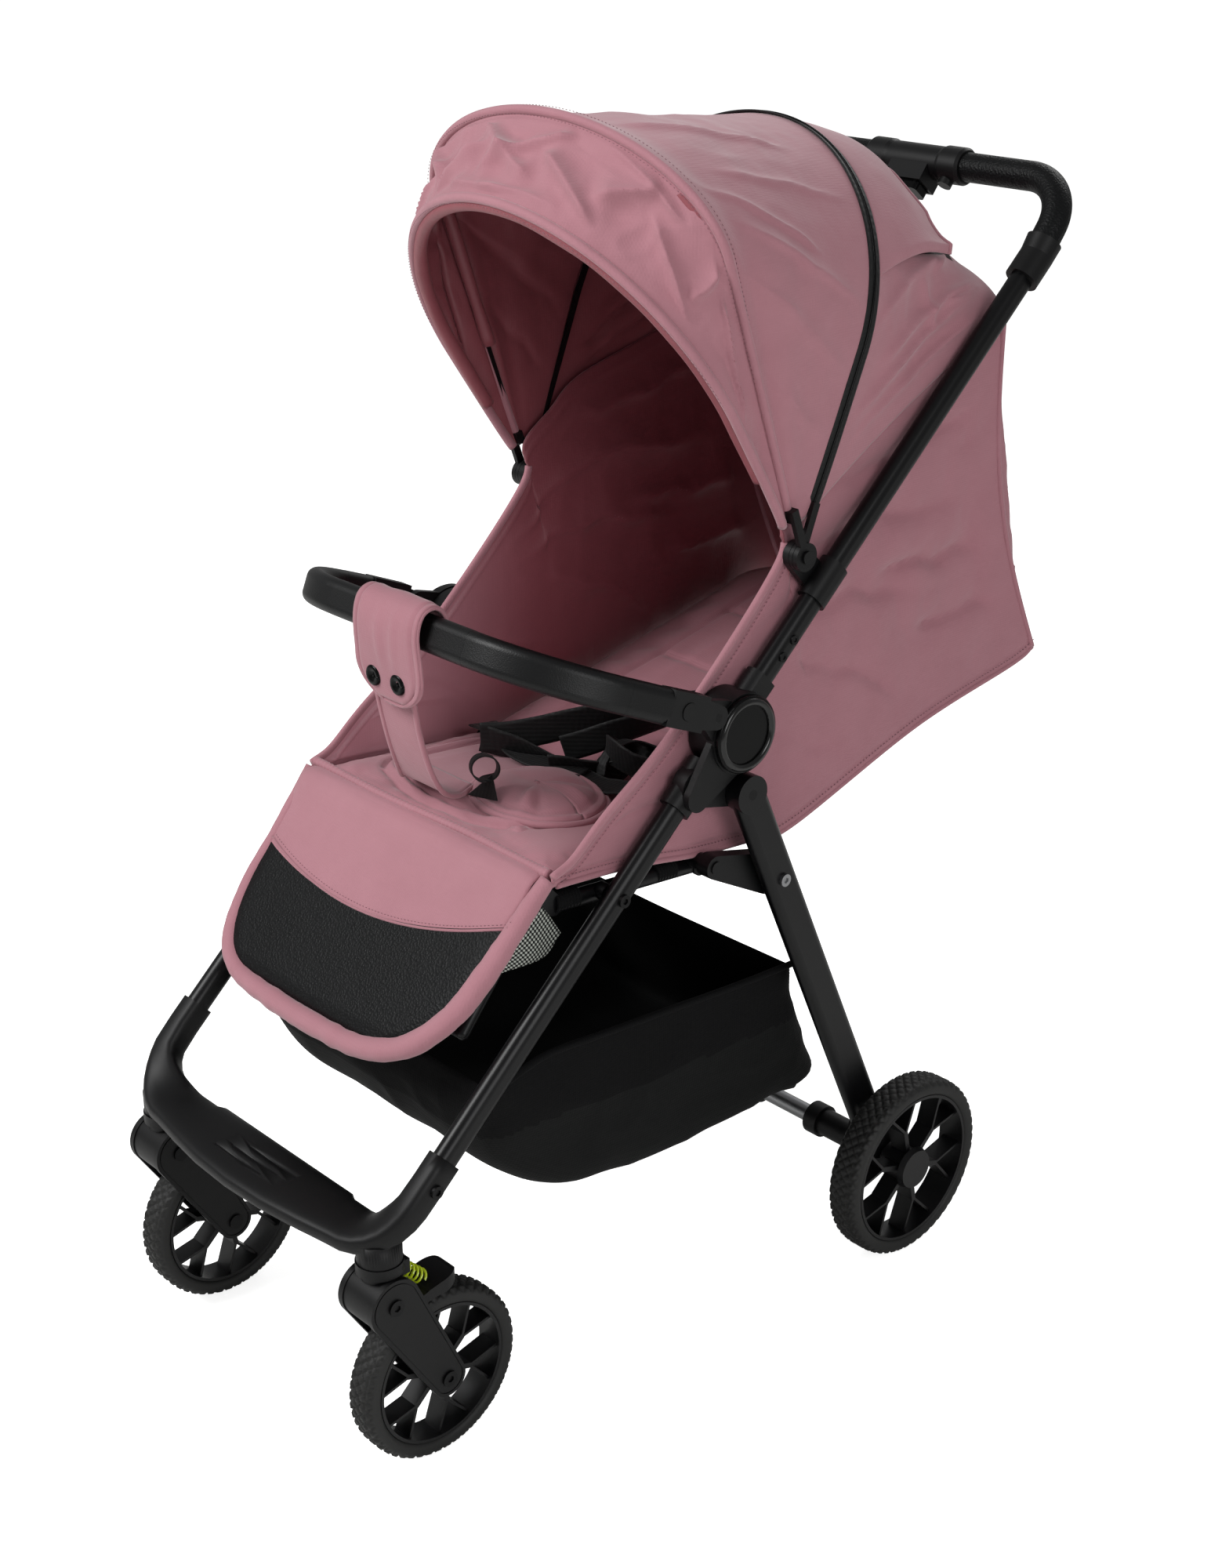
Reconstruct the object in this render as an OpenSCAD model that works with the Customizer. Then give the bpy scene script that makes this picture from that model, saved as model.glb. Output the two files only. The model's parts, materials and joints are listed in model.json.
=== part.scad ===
// Folding baby stroller: a front leg, a handle tube and a rear leg meet at a hub on each side.
// The frame carries a reclining seat, a hood of three bows, a basket, a bumper bar and four wheels.
// Millimetres, +Z up, the child faces -Y and +X is the child's left. The origin is on the floor,
// under the middle of the whole stroller.

/* [Frame] */
// Slope of the front legs and of the handle tubes, in degrees
rake = 42.5; // [40:0.5:45]
// Height of a front leg's foot, above the front axle
leg_foot_z = 299; // [290:1:310]
// Way from a leg's foot to the middle of the hub, along the leg
hub_along = 452; // [446:1:458]
// Way from a leg's foot to the top of the handle tube
tube_top_along = 985; // [970:1:995]
// Half of the frame's width, to the middle of its tubes
tube_x = 186; // [184:1:190]
// Width of a frame tube, across the stroller
tube_w = 18; // [16:1:18]
// Depth of a frame tube, across its length
tube_d = 24; // [22:1:26]
// Wall of the frame tubes
tube_wall = 1.6; // [1:0.1:2.5]
// Depth of a rear leg, across its length
rear_leg_d = 36; // [32:1:38]
// Thickness of a rear leg, across the stroller
rear_leg_w = 16; // [14:1:16]

/* [Hub] */
// Radius of the hub
hub_r = 37; // [34:0.5:38]
// Thickness of the hub's turning disc
hub_disc_w = 22; // [20:1:22]
// Thickness of the hub's outer housing
hub_shell_w = 9; // [8:1:12]
// Thickness of the hub cap
cap_t = 5; // [4:0.5:6]
// Radius of the hub's pin
hub_pin_r = 7; // [6:0.5:9]

/* [Handle] */
// Slope of the handle bow, in degrees
handle_pitch = 51; // [48:1:54]
// Way from the top of the tubes to the middle of the handle bow
handle_reach = 79; // [75:1:84]
// Radius of the bow's bends
handle_bend = 50; // [46:1:54]
// Radius of the handle's tube
bar_r = 10; // [9:0.5:11]
// Thickness of the handle's soft grip
grip_t = 4; // [3:0.5:5]
// Length of the fold housing
fold_box_l = 118; // [110:1:126]

/* [Wheels] */
// Radius of a front wheel
front_r = 83.3; // [80:0.1:86]
// Width of a front wheel
front_w = 32; // [28:1:32]
// Half of the front track
front_x = 165; // [162:1:167]
// Radius of a rear wheel
rear_r = 94; // [90:0.5:98]
// Width of a rear wheel
rear_w = 34; // [30:1:36]
// Half of the rear track
rear_x = 237; // [236:1:245]
// Way from the front axle back to the rear axle
wheelbase = 543; // [520:1:560]
// Depth of a tyre, from its tread to its bead
tyre_t = 16; // [14:0.5:17]
// Number of forked spokes
spokes = 6; // [5:1:7]

/* [Casters] */
// Way from the front axle forward to the swivel's axis
trail = 52; // [48:1:56]
// Height of the suspension's pivot, above the axle
susp_z = 100; // [97:1:104]
// Radius of the swivel's housing
swivel_r = 21; // [19:0.5:22]
// Thickness of a suspension arm
arm_t = 6; // [5:0.5:7]
// Side gap between an arm and the wheel or the housing
arm_gap = 1.5; // [1:0.5:2]

/* [Seat] */
// Width of the seat's pad
seat_w = 330; // [310:1:332]
// Thickness of the seat's pad
seat_t = 26; // [22:1:30]
// Length of the backrest
back_l = 422; // [410:1:426]
// Slope of the backrest when it lies back, in degrees
back_slope = 13; // [10:1:16]
// Length of the leg rest
calf_l = 196; // [185:1:205]
// Slope of the leg rest, down from level, in degrees
calf_slope = 51; // [48:1:54]
// How far the leg rest stands out past the seat on each side
calf_over = 11; // [4:1:15]

/* [Bumper bar] */
// Reach of the bumper bar, forward of its pivot
bumper_reach = 186; // [180:1:192]
// Rise of the bumper bar, in degrees
bumper_rise = 22.8; // [20:0.2:25]
// Height of the bumper bar's section
bumper_h = 32; // [28:1:34]
// Thickness of the bumper bar's section
bumper_t = 17; // [14:1:18]
// Radius of the bumper bar's corners
bumper_bend = 108; // [100:1:114]

/* [Hood] */
// Way from the hub up to the hood's pivot
hood_up = 137.5; // [134:0.5:141]
// Way from the hub back to the hood's pivot
hood_back = 88.5; // [86:0.5:91]
// Reach of the main bow, from the pivot
bow_reach = 393; // [380:1:400]
// Thickness of the hood's cloth
cloth_t = 2.4; // [2:0.1:3]

/* [Basket] */
// Length of the basket's opening
basket_l = 294; // [280:1:300]
// Depth of the basket
basket_d = 176; // [160:1:180]

/* [Hidden] */
$fn = 64;

// Clearances
run_gap = 0.05;
soft_gap = 0.3;
side_gap = 1;
lap = 0.2;

// Sides of the stroller: the child's left is +X
LEFT = 1;
RIGHT = -1;

// Points on the line of the legs and the handle tubes, as [y, z]
function on_line(s) = [s * cos(rake), leg_foot_z + s * sin(rake)];
function polar(p, r, a) = [p[0] + r * cos(a), p[1] + r * sin(a)];
hub = on_line(hub_along);
tube_top = on_line(tube_top_along);
handle_at = polar(tube_top, handle_reach, handle_pitch);

// Levels across the stroller, outwards
tube_in = tube_x - tube_w / 2;
tube_out = tube_x + tube_w / 2;
disc_in = tube_out + 1 - hub_disc_w;
shell_in = disc_in + hub_disc_w + side_gap;
shell_out = shell_in + hub_shell_w;
leg_in = shell_in;
leg_mid = leg_in + rear_leg_w / 2;

// Rear legs: they turn about a pin under the hub and end at the rear axle
rear_axle_at = [wheelbase, rear_r];
rear_pin = hub + [6, -hub_r - rear_leg_d / 2 - 3];
rear_leg_a = atan2(rear_axle_at[1] - rear_pin[1], rear_axle_at[0] - rear_pin[0]);
rear_pin_r = 5;
axle_r = 9;
stub_r = 6;

// Seat: its frame turns about a pin on the front legs and hangs on two links behind
seat_pin = on_line(272);
link_seat = [313, 478];
link_leg = polar(rear_pin, 105, rear_leg_a);
seat_rod_x = 160;
seat_rod_r = 8;
seat_front = [137, 517];
seat_back = [346, 503];
pad_x = seat_w / 2;
calf_w = seat_w + 2 * calf_over;
pad_r = seat_t / 2;
pad_a = seat_front + [pad_r + 11, -pad_r];
pad_b = seat_back + [-2 * pad_r - 1, -pad_r];
pad_dir = (pad_b - pad_a) / norm(pad_b - pad_a);
pad_up = [-pad_dir[1], pad_dir[0]];
back_pin = [seat_back[0], seat_back[1] - seat_t / 2];
back_top = polar(back_pin, back_l, back_slope);
side_x = disc_in - 2.5;

// Bumper bar
bumper_pin = polar(hub, 48, 145.3);
bumper_a = 180 - bumper_rise;
bumper_mid = polar(bumper_pin, bumper_reach, bumper_a);
bumper_x = shell_in + bumper_t / 2;
bumper_out = shell_in + bumper_t;
bumper_toe = 12;
bumper_arm = bumper_reach - bumper_bend * (1 - sin(bumper_toe));

// Hood
hood_pin = hub + [hood_back, hood_up];
visor_a = 123;
main_a = 110;
zip_a = 68.5;
bow_x = tube_x - 2;
bow_foot_x = bow_x - 4;
bow_foot_r = 36;
bow_foot_l = 12;
cloth_steps = 30;
side_steps = 4;
hood_end = on_line(tube_top_along - 28) + [-4, -39];
hood_foot = back_top + [22, -17];

// Small sizes of the pieces
pivot_r = 4;
screw_r = 2.5;
rivet_r = 2;
rivets = [79, 98];
bumper_pin_r = 4;
bolt_r = 4;
step_t = 19;
step_bow = 7;
step_bow_x = 125;
step_bend = 56;
socket_w = 24;
socket_l = 6;
groove_l = 70;
tread_bump = 100;
post_top = 221;
stem_r = 8;
stem_top = 240;
cap_r = hub_r - 1;
sleeve_l = 28;
sleeve_r = 16;
trigger_w = 40;
trigger_d = 22;
trigger_h = 20;
trigger_travel = 4;
bracket_in = 116;
pedal_w = 90;
pedal_l = 46;
rim_wall = 3;
spoke_t = 2.6;
spoke_d = 20;
spring_r = 8;
spring_seat = [-32, front_r + 37];
link_in = 181;
link_t = 14;
frame_front = pad_a - (pad_r + seat_rod_r + soft_gap) * pad_up - 10 * pad_dir;
frame_back = pad_b - (pad_r + seat_rod_r + soft_gap) * pad_up + 3 * pad_dir;
boss_r = 8;
end_l = 62;
button_at = 38;
button_r = 8;
button_d = 8;
button_travel = 3;
cover_w = 88;
strap_w = 54;
cover_low = bumper_mid + [-8, -19];
strap_mid = [128, 592];
strap_foot = over_seat(170, 2 + soft_gap);
hinge_x = 182;
hinge_r = 13;
hood_end_x = side_x - cloth_t - soft_gap;
hood_crown = 58;

// The origin is under the middle, between the front of the step and the rear of the hood
step_at = [-63, 236];
step_d = 66;
front_y = on_line(-norm(step_at - on_line(0)) + 3)[0] - step_d / 2;
rear_y = max(handle_at[0] + bar_r + grip_t, wheelbase);
y_mid = (front_y + rear_y) / 2;

// ---- Helpers ----------------------------------------------------------------------------

// Everything is drawn from the front axle and moved to the origin here
module place() translate([0, -y_mid, 0]) children();

// A profile in Y and Z, made into a plate from x0 to x1
module plate(x0, x1) translate([x0, 0, 0]) rotate([90, 0, 90]) linear_extrude(x1 - x0) children();

// The same plate on both sides of the stroller
module both() for (s = [LEFT, RIGHT]) scale_x(s) children();
module scale_x(s) if (s < 0) mirror([1, 0, 0]) children(); else children();

// A pin along X, about a point in Y and Z
module pin(at, r, x0, x1) translate([x0, at[0], at[1]]) rotate([0, 90, 0]) cylinder(h = x1 - x0, r = r);

// Two discs and their tangents
module strap(a, ra, b, rb) {
  d = norm(b - a);
  th = atan2(b[1] - a[1], b[0] - a[0]);
  if (ra == rb) {
    translate((a + b) / 2) rotate(th - 90) oval(2 * ra, d + 2 * ra);
  } else {
    ph = acos((ra - rb) / d);
    translate(a) circle(ra);
    translate(b) circle(rb);
    // The sides stand a hair inside the discs, so that they cross them and don't only touch
    corners = [[a, ra, ph], [b, rb, ph], [b, rb, -ph], [a, ra, -ph]];
    polygon([for (c = corners) polar(c[0], c[1] - 0.02, th + c[2])]);
  }
}

// A rectangle with round corners
module round_rect(w, h, r) {
  square([w, h - 2 * r], center = true);
  square([w - 2 * r, h], center = true);
  for (i = [-1, 1], j = [-1, 1]) translate([i * (w / 2 - r), j * (h / 2 - r)]) circle(r);
}

// The flat oval section of a tube
module oval(w, d) {
  square([w, d - w], center = true);
  for (i = [-1, 1]) translate([0, i * (d - w) / 2]) circle(w / 2);
}

// A length of section from one point in Y and Z to another
module run(x, a, b) {
  translate([x, a[0], a[1]]) rotate([atan2(b[1] - a[1], b[0] - a[0]) - 90, 0, 0])
    linear_extrude(norm(b - a)) children();
}

module oval_tube(x, a, b, w, d) {
  run(x, a, b) difference() {
    oval(w, d);
    oval(w - 2 * tube_wall, d - 2 * tube_wall);
  }
}

// A hexagon socket screw along X, its head outwards
module screw(x, at, r, l, head_r = 6, head_h = 3) {
  difference() {
    union() {
      pin(at, r, x - l, x);
      pin(at, head_r, x, x + head_h);
    }
    translate([x + head_h / 2, at[0], at[1]])
      rotate([0, 90, 0]) cylinder(h = head_h, r = head_r / 2, $fn = 6);
  }
}

// A closed skin between two grids of points that have the same rows and columns
module skin(outer, inner) {
  rows = len(outer);
  cols = len(outer[0]);
  n = rows * cols;
  points = [for (g = [outer, inner], row = g, p = row) p];
  function quad(a, b, c, d) = [[a, b, c], [a, c, d]];
  faces = [
    for (i = [0 : rows - 2], j = [0 : cols - 2])
      each quad(i * cols + j, i * cols + j + 1, (i + 1) * cols + j + 1, (i + 1) * cols + j),
    for (i = [0 : rows - 2], j = [0 : cols - 2])
      each quad(n + i * cols + j, n + (i + 1) * cols + j, n + (i + 1) * cols + j + 1, n + i * cols + j + 1),
    for (j = [0 : cols - 2], e = [0, rows - 1])
      each e == 0 ? quad(j, n + j, n + j + 1, j + 1)
                  : quad(e * cols + j + 1, n + e * cols + j + 1, n + e * cols + j, e * cols + j),
    for (i = [0 : rows - 2], e = [0, cols - 1])
      each e == 0 ? quad((i + 1) * cols, n + (i + 1) * cols, n + i * cols, i * cols)
                  : quad(i * cols + e, n + i * cols + e, n + (i + 1) * cols + e, (i + 1) * cols + e)
  ];
  polyhedron(points = points, faces = faces);
}

function mix(a, b, t) = a + (b - a) * t;

// ---- Front legs and the step -------------------------------------------------------------

leg_top = hub_along - hub_r - 3;
step_screw = -20;
leg_foot = -26;

module front_leg(s) {
  color("#17181a") place() scale_x(s) difference() {
    oval_tube(tube_x, on_line(leg_foot), on_line(leg_top), tube_w, tube_d);
    pin(seat_pin, pivot_r, tube_x - 30, tube_x + 30);
    pin(on_line(step_screw), screw_r, tube_x, tube_x + 30);
  }
}

// The step is one moulding: a section that runs down from a leg's sleeve, around the corner and
// along the tread. Each ring is [middle, direction outwards, half width, half thickness, turn]
leg_dir = [0, cos(rake), sin(rake)];
tread_s = norm(step_at - on_line(0)) - 3;
corner_s = step_bend - tread_s;
turns = 8;
ring_points = 24;
tread_drop = [0, 0, step_at[1] - on_line(-tread_s)[1]];

function leg_at(x, s) = [x, on_line(s)[0], on_line(s)[1]];
function smooth(t) = t * t * (3 - 2 * t);
function bow_at(x) = 1 - pow(min(abs(x) / step_bow_x, 1), 2);
function step_ring(c, out, t, x) =
  let (
    a = rake * smooth(t),
    up = [0, -sin(rake), cos(rake)],
    n = cos(a) * out + sin(a) * (t > 0 ? up : [0, 0, 0]),
    b = cos(a) * up - sin(a) * out,
    w = mix(socket_w / 2, step_d / 2 - step_bow * (1 - bow_at(x)), smooth(t)),
    h = mix(tube_d / 2 + 2, step_t / 2, smooth(t)),
    rear = abs(x) < tread_bump ? 4 : 0,
    mid = c + [0, t == 1 ? -step_bow * bow_at(x) + step_bow : 0, 0]
  )
  [for (k = [0 : ring_points - 1])
    let (u = 360 * k / ring_points, p = 0.62, cu = cos(u), su = sin(u),
      m = sign(cu) * pow(abs(cu), p), v = sign(su) * pow(abs(su), p))
    mid + (w * m + (m < 0 ? rear * m : 0)) * n + h * v * b];
function half_step() = [
  for (s = [socket_l, -8, -18]) step_ring(leg_at(tube_x, s), [1, 0, 0], 0, tube_x),
  for (i = [1 : turns])
    let (q = 90 * i / turns, t = i / turns, x = tube_x - step_bend * (1 - cos(q)), shift = smooth(t))
      step_ring(
        leg_at(x, corner_s - step_bend * sin(q)) + tread_drop * shift + [0, t < 1 ? step_bow * shift : 0, 0],
        [cos(q), 0, 0] - sin(q) * leg_dir, t, x
      ),
  for (x = [104, 96, 50, 0]) step_ring(leg_at(x, -tread_s) + tread_drop, -leg_dir, 1, x)
];

// A closed body through a row of rings
module sweep(rings) {
  n = len(rings);
  m = len(rings[0]);
  faces = [
    for (i = [0 : n - 2], k = [0 : m - 1])
      let (q = (k + 1) % m, a = i * m) each [[a + k, a + m + k, a + m + q], [a + k, a + m + q, a + q]],
    [for (k = [0 : m - 1]) k],
    [for (k = [m - 1 : -1 : 0]) (n - 1) * m + k]
  ];
  polyhedron([for (r = rings) each r], faces);
}

module front_crossbar() {
  half = half_step();
  count = len(half);
  other = [for (i = [count - 2 : -1 : 0]) [for (p = half[i]) [-p[0], p[1], p[2]]]];
  color("#1c1d1f") place() difference() {
    union() {
      sweep(concat(half, other));
      both() translate([front_x, -trail, post_top]) cylinder(h = 20, r = swivel_r - 1);
    }
    both() run(tube_x, on_line(leg_foot), on_line(90)) oval(tube_w, tube_d);
    both() translate([front_x, -trail, 0]) cylinder(h = stem_top + 1, r = stem_r + run_gap);
    both() pin(on_line(step_screw), screw_r, tube_x, tube_x + 30);
    // Three grip grooves along the tread
    for (i = [-1 : 1])
      translate([-groove_l / 2 + 12 * i, step_at[0] + 10 * i - 1, step_at[1] + step_t / 2 - 1])
        cube([groove_l, 2, 10]);
  }
}

// ---- Hubs: the housing stays with the front leg, the inner disc turns with the handle ----

disc_r = hub_r - 1;
lug_r = 13;

module hub_housings() {
  color("#1b1c1e") place() both() difference() {
    union() {
      plate(shell_in, shell_out) circle_at(hub, hub_r);
      plate(shell_in, shell_in + 7) strap(hub, hub_r - 6, on_line(leg_top - 30), 13);
      run(tube_x, on_line(leg_top - 48), on_line(leg_top)) oval(socket_w, tube_d + 8);
      plate(leg_in - 16, leg_in - side_gap) difference() {
        union() {
          strap(on_line(leg_top - 22), 18, rear_pin, 15);
          circle_at(rear_pin, 15);
        }
        circle_at(hub, hub_r + 2);
      }
      // The knuckle that carries the bumper bar
      plate(shell_in, shell_out - side_gap) strap(hub, hub_r - 8, bumper_pin, lug_r);
    }
    pin(hub, hub_pin_r, 0, shell_out + 1);
    pin(rear_pin, rear_pin_r, 0, 300);
    pin(bumper_pin, bumper_pin_r, 0, 300);
    run(tube_x, on_line(leg_top - 100), on_line(leg_top)) oval(tube_w, tube_d);
    plate(0, leg_in) circle_at(hub, hub_r + 1.5);
    translate([shell_out, 0, 0]) plate(0, 20) circle_at(hub, cap_r);
  }
}

module circle_at(p, r) translate(p) circle(r);

// A dished cap: a ring around a flat middle
module hub_caps() {
  r = cap_r - 0.5;
  color("#101113") place() both() translate([shell_out, hub[0], hub[1]]) rotate([0, 90, 0]) rotate_extrude()
    difference() {
      union() {
        square([r, cap_t - 2]);
        square([r - 2, cap_t]);
        translate([r - 2, cap_t - 2]) circle(2);
      }
      translate([0, cap_t - 1.5]) square([r - 9, 10]);
      translate([r - 9, cap_t + 0.5]) circle(2);
    }
}

module hub_pins() {
  color("#8a8c90") place() both() {
    pin(hub, hub_pin_r, disc_in, shell_out);
    pin(rear_pin, rear_pin_r, leg_in - 16, leg_in + rear_leg_w);
    pin(bumper_pin, bumper_pin_r, shell_in, bumper_out);
  }
}

module frame_screws() {
  color("#2a2b2e") place() both() {
    screw(tube_out, seat_pin, pivot_r, tube_out - seat_rod_x - seat_rod_r + 6);
    screw(tube_x + socket_w / 2, on_line(step_screw), screw_r, 11.5);
  }
}

// ---- Handle ------------------------------------------------------------------------------

module handle_frame_at() translate([0, tube_top[0], tube_top[1]]) rotate([handle_pitch, 0, 0]) children();

module handle_tube(s) {
  color("#17181a") place() scale_x(s) difference() {
    oval_tube(tube_x, on_line(hub_along + hub_r - 8), tube_top, tube_w, tube_d);
    for (a = rivets) pin(on_line(hub_along + a), rivet_r, tube_x, tube_x + 30);
  }
}

module tube_rivets() {
  color("#2a2b2e") place() both() for (a = rivets)
    screw(tube_out, on_line(hub_along + a), rivet_r, 6, 4.5, 1.5);
}

module handle_hubs() {
  color("#1b1c1e") place() both() difference() {
    union() {
      plate(disc_in, disc_in + hub_disc_w) circle_at(hub, disc_r);
      intersection() {
        run(tube_x, on_line(hub_along + 10), on_line(hub_along + hub_r + 18)) oval(socket_w, tube_d + 8);
        plate(0, disc_in + hub_disc_w) circle_at(hub, 80);
      }
    }
    pin(hub, hub_pin_r + run_gap, 0, 300);
    run(tube_x, on_line(hub_along + hub_r - 8), on_line(hub_along + 200)) oval(tube_w, tube_d);
  }
}

// One half of the handle bow as a round tube, from a start on its leg to a stop on its bar
module bow_half(r, start, stop) {
  leg = handle_reach - handle_bend;
  flat = tube_x - handle_bend;
  translate([tube_x, start, 0]) rotate([-90, 0, 0]) cylinder(h = leg - start, r = r);
  translate([flat, leg, 0]) rotate_extrude(angle = 90) translate([handle_bend, 0]) circle(r);
  translate([stop, handle_reach, 0]) rotate([0, 90, 0]) cylinder(h = flat - stop, r = r);
}

module handlebar() color("#17181a") place() handle_frame_at() both() bow_half(bar_r, 4, 0);

module handle_sleeves() {
  color("#1b1c1e") place() both() difference() {
    union() {
      run(tube_x, on_line(tube_top_along - sleeve_l), tube_top) circle(sleeve_r);
      translate([tube_x, tube_top[0], tube_top[1]]) sphere(sleeve_r);
      handle_frame_at() translate([tube_x, 0, 0]) rotate([-90, 0, 0])
        cylinder(h = 16, r1 = sleeve_r, r2 = sleeve_r + 1);
    }
    run(tube_x, on_line(400), tube_top) oval(tube_w, tube_d);
    handle_frame_at() translate([tube_x, 4, 0]) rotate([-90, 0, 0]) cylinder(h = 60, r = bar_r);
  }
}

module handle_grips() {
  color("#141517") place() handle_frame_at() both() difference() {
    bow_half(bar_r + grip_t, 17, fold_box_l / 2 + 0.5);
    bow_half(bar_r, 0, 0);
  }
}

module fold_housing() {
  r = bar_r + grip_t + 4;
  color("#1b1c1e") place() handle_frame_at() translate([0, handle_reach, 0]) difference() {
    union() {
      rotate([0, 90, 0]) rotate_extrude() translate([0, -fold_box_l / 2]) polygon([
        [0, 0], [r - 2, 0], [r, 3], [r, 24], [r - 1.5, 28], [r - 1.5, fold_box_l - 28],
        [r, fold_box_l - 24], [r, fold_box_l - 3], [r - 2, fold_box_l], [0, fold_box_l]
      ]);
      translate([-trigger_w / 2 - 3, -r - 9, -trigger_d / 2 - 3]) cube([trigger_w + 6, r, trigger_d + 6]);
      translate([fold_box_l / 2 - 16, -r + 8, 0]) rotate([90, 0, 0]) cylinder(h = 13, r = 7);
    }
    rotate([0, 90, 0]) cylinder(h = 200, r = bar_r, center = true);
    translate([-trigger_w / 2 - soft_gap, -60, -trigger_d / 2 - soft_gap])
      cube([trigger_w + 2 * soft_gap, 60 - bar_r - 1, trigger_d + 2 * soft_gap]);
  }
}

module fold_trigger() {
  top = bar_r + 1 + trigger_travel + 0.5;
  color("#101113") place() handle_frame_at() translate([0, handle_reach - top, 0]) rotate([90, 0, 0])
    linear_extrude(trigger_h) round_rect(trigger_w, trigger_d, 5);
}

// ---- Rear legs, axle and brake -------------------------------------------------------------

leg_end = polar(rear_axle_at, 24, rear_leg_a + 180);

module rear_leg(s) {
  color("#17181a") place() scale_x(s) difference() {
    union() {
      run(leg_mid, rear_pin, leg_end) oval(rear_leg_w, rear_leg_d);
      plate(leg_in, leg_in + rear_leg_w) circle_at(rear_pin, rear_leg_d / 2);
    }
    run(leg_mid, polar(rear_pin, rear_leg_d / 2 + 4, rear_leg_a), leg_end)
      oval(rear_leg_w - 2 * tube_wall, rear_leg_d - 2 * tube_wall);
    pin(rear_pin, rear_pin_r + run_gap, 0, 300);
    pin(link_leg, pivot_r, 0, 300);
  }
}

module rear_axle() {
  color("#3a3c40") place() both() {
    pin(rear_axle_at, axle_r, 0, leg_in + rear_leg_w + 3);
    pin(rear_axle_at, stub_r, leg_in + rear_leg_w + 3, rear_x + rear_w / 2 - 6);
    screw(leg_in + rear_leg_w, link_leg, pivot_r, leg_in + rear_leg_w - link_in);
  }
}

module axle_brackets() {
  color("#1b1c1e") place() both() difference() {
    union() {
      pin(rear_axle_at, 14, bracket_in, leg_in);
      pin(rear_axle_at, 17, bracket_in, bracket_in + 16);
      run(leg_mid, rear_axle_at, polar(leg_end, 30, rear_leg_a + 180)) oval(rear_leg_w + 5, rear_leg_d + 7);
      plate(leg_in - 3, leg_in + rear_leg_w + 2) circle_at(rear_axle_at, 20);
    }
    run(leg_mid, leg_end, rear_pin) oval(rear_leg_w, rear_leg_d);
    pin(rear_axle_at, axle_r, 0, 300);
  }
}

module brake_pedal() {
  color("#1b1c1e") place() difference() {
    union() {
      pin(rear_axle_at, axle_r + 5, -pedal_w / 2, pedal_w / 2);
      plate(-pedal_w / 2, pedal_w / 2) strap(rear_axle_at + [8, -2], 6, rear_axle_at + [pedal_l, -12], 4);
    }
    pin(rear_axle_at, axle_r + run_gap, -300, 300);
    for (i = [0 : 3]) plate(-pedal_w / 2 + 6, pedal_w / 2 - 6)
      circle_at(rear_axle_at + [pedal_l - 8 * i - 4, -7 + 1.6 * i], 1.2);
  }
}

// ---- Wheels ----------------------------------------------------------------------------------

module tyre(r, w) {
  bead = r - tyre_t;
  crown = 7;
  rotate([0, 90, 0]) rotate_extrude() {
    translate([bead, -w / 2 + 3]) square([tyre_t - crown, w - 6]);
    translate([bead + 3, -w / 2]) square([tyre_t - crown - 3, w]);
    for (i = [-1, 1]) {
      translate([bead + 3, i * (w / 2 - 3)]) circle(3);
      translate([r - crown, i * (w / 2 - crown)]) circle(crown);
    }
    translate([r - crown, -w / 2 + crown]) square([crown, w - 2 * crown]);
  }
}

module blade(a, b, t) {
  translate(a) rotate(atan2(b[1] - a[1], b[0] - a[0])) translate([0, -t / 2]) square([norm(b - a), t]);
}

// A rim with forked spokes: each stem parts into two blades that reach the ring
module rim(r, w, hub_r, hub_w) {
  bead = r - tyre_t;
  open = bead - rim_wall;
  fork = mix(hub_r, open, 0.42);
  half = 360 / spokes / 4;
  difference() {
    union() {
      rotate([0, 90, 0]) rotate_extrude() {
        translate([open, -w / 2 + 2]) square([rim_wall, w - 4]);
        translate([0, -hub_w / 2]) square([hub_r, hub_w]);
      }
      rotate([0, 90, 0]) for (i = [0 : spokes - 1]) rotate(360 / spokes * i + 12)
        translate([0, 0, -spoke_d / 2]) linear_extrude(spoke_d) {
          blade([hub_r - 2, 0], [fork + 1, 0], 2 * spoke_t);
          for (j = [-1, 1]) blade([fork, 0], polar([0, 0], open + 1, j * half), spoke_t);
          circle_at([fork, 0], spoke_t);
        }
    }
    rotate([0, 90, 0]) cylinder(h = 200, r = stub_r + run_gap, center = true);
  }
}

module at_front(s) place() scale_x(s) translate([front_x, 0, front_r]) children();
module at_rear(s) place() scale_x(s) translate([rear_x, wheelbase, rear_r]) children();

module front_tyre(s) color("#1d1e20") at_front(s) tyre(front_r, front_w);
module front_rim(s) color("#18191b") at_front(s) rim(front_r, front_w, 14, front_w);
module rear_tyre(s) color("#1d1e20") at_rear(s) tyre(rear_r, rear_w);
module rear_rim(s) {
  color("#18191b") at_rear(s) {
    rim(rear_r, rear_w, 18, rear_w - 4);
    // The closed cap over the axle's end
    translate([rear_w / 2 - 5, 0, 0]) rotate([0, 90, 0]) cylinder(h = 6, r1 = 22, r2 = 20);
  }
}

// ---- Casters -----------------------------------------------------------------------------------

susp_at = [-trail - 2, susp_z];
arm_in = front_w / 2 + arm_gap;
arm_out = arm_in + arm_t;
arm_top_r = 26;
arm_foot_r = 18;
spring_foot = [-9, front_r + 14.5];

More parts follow.
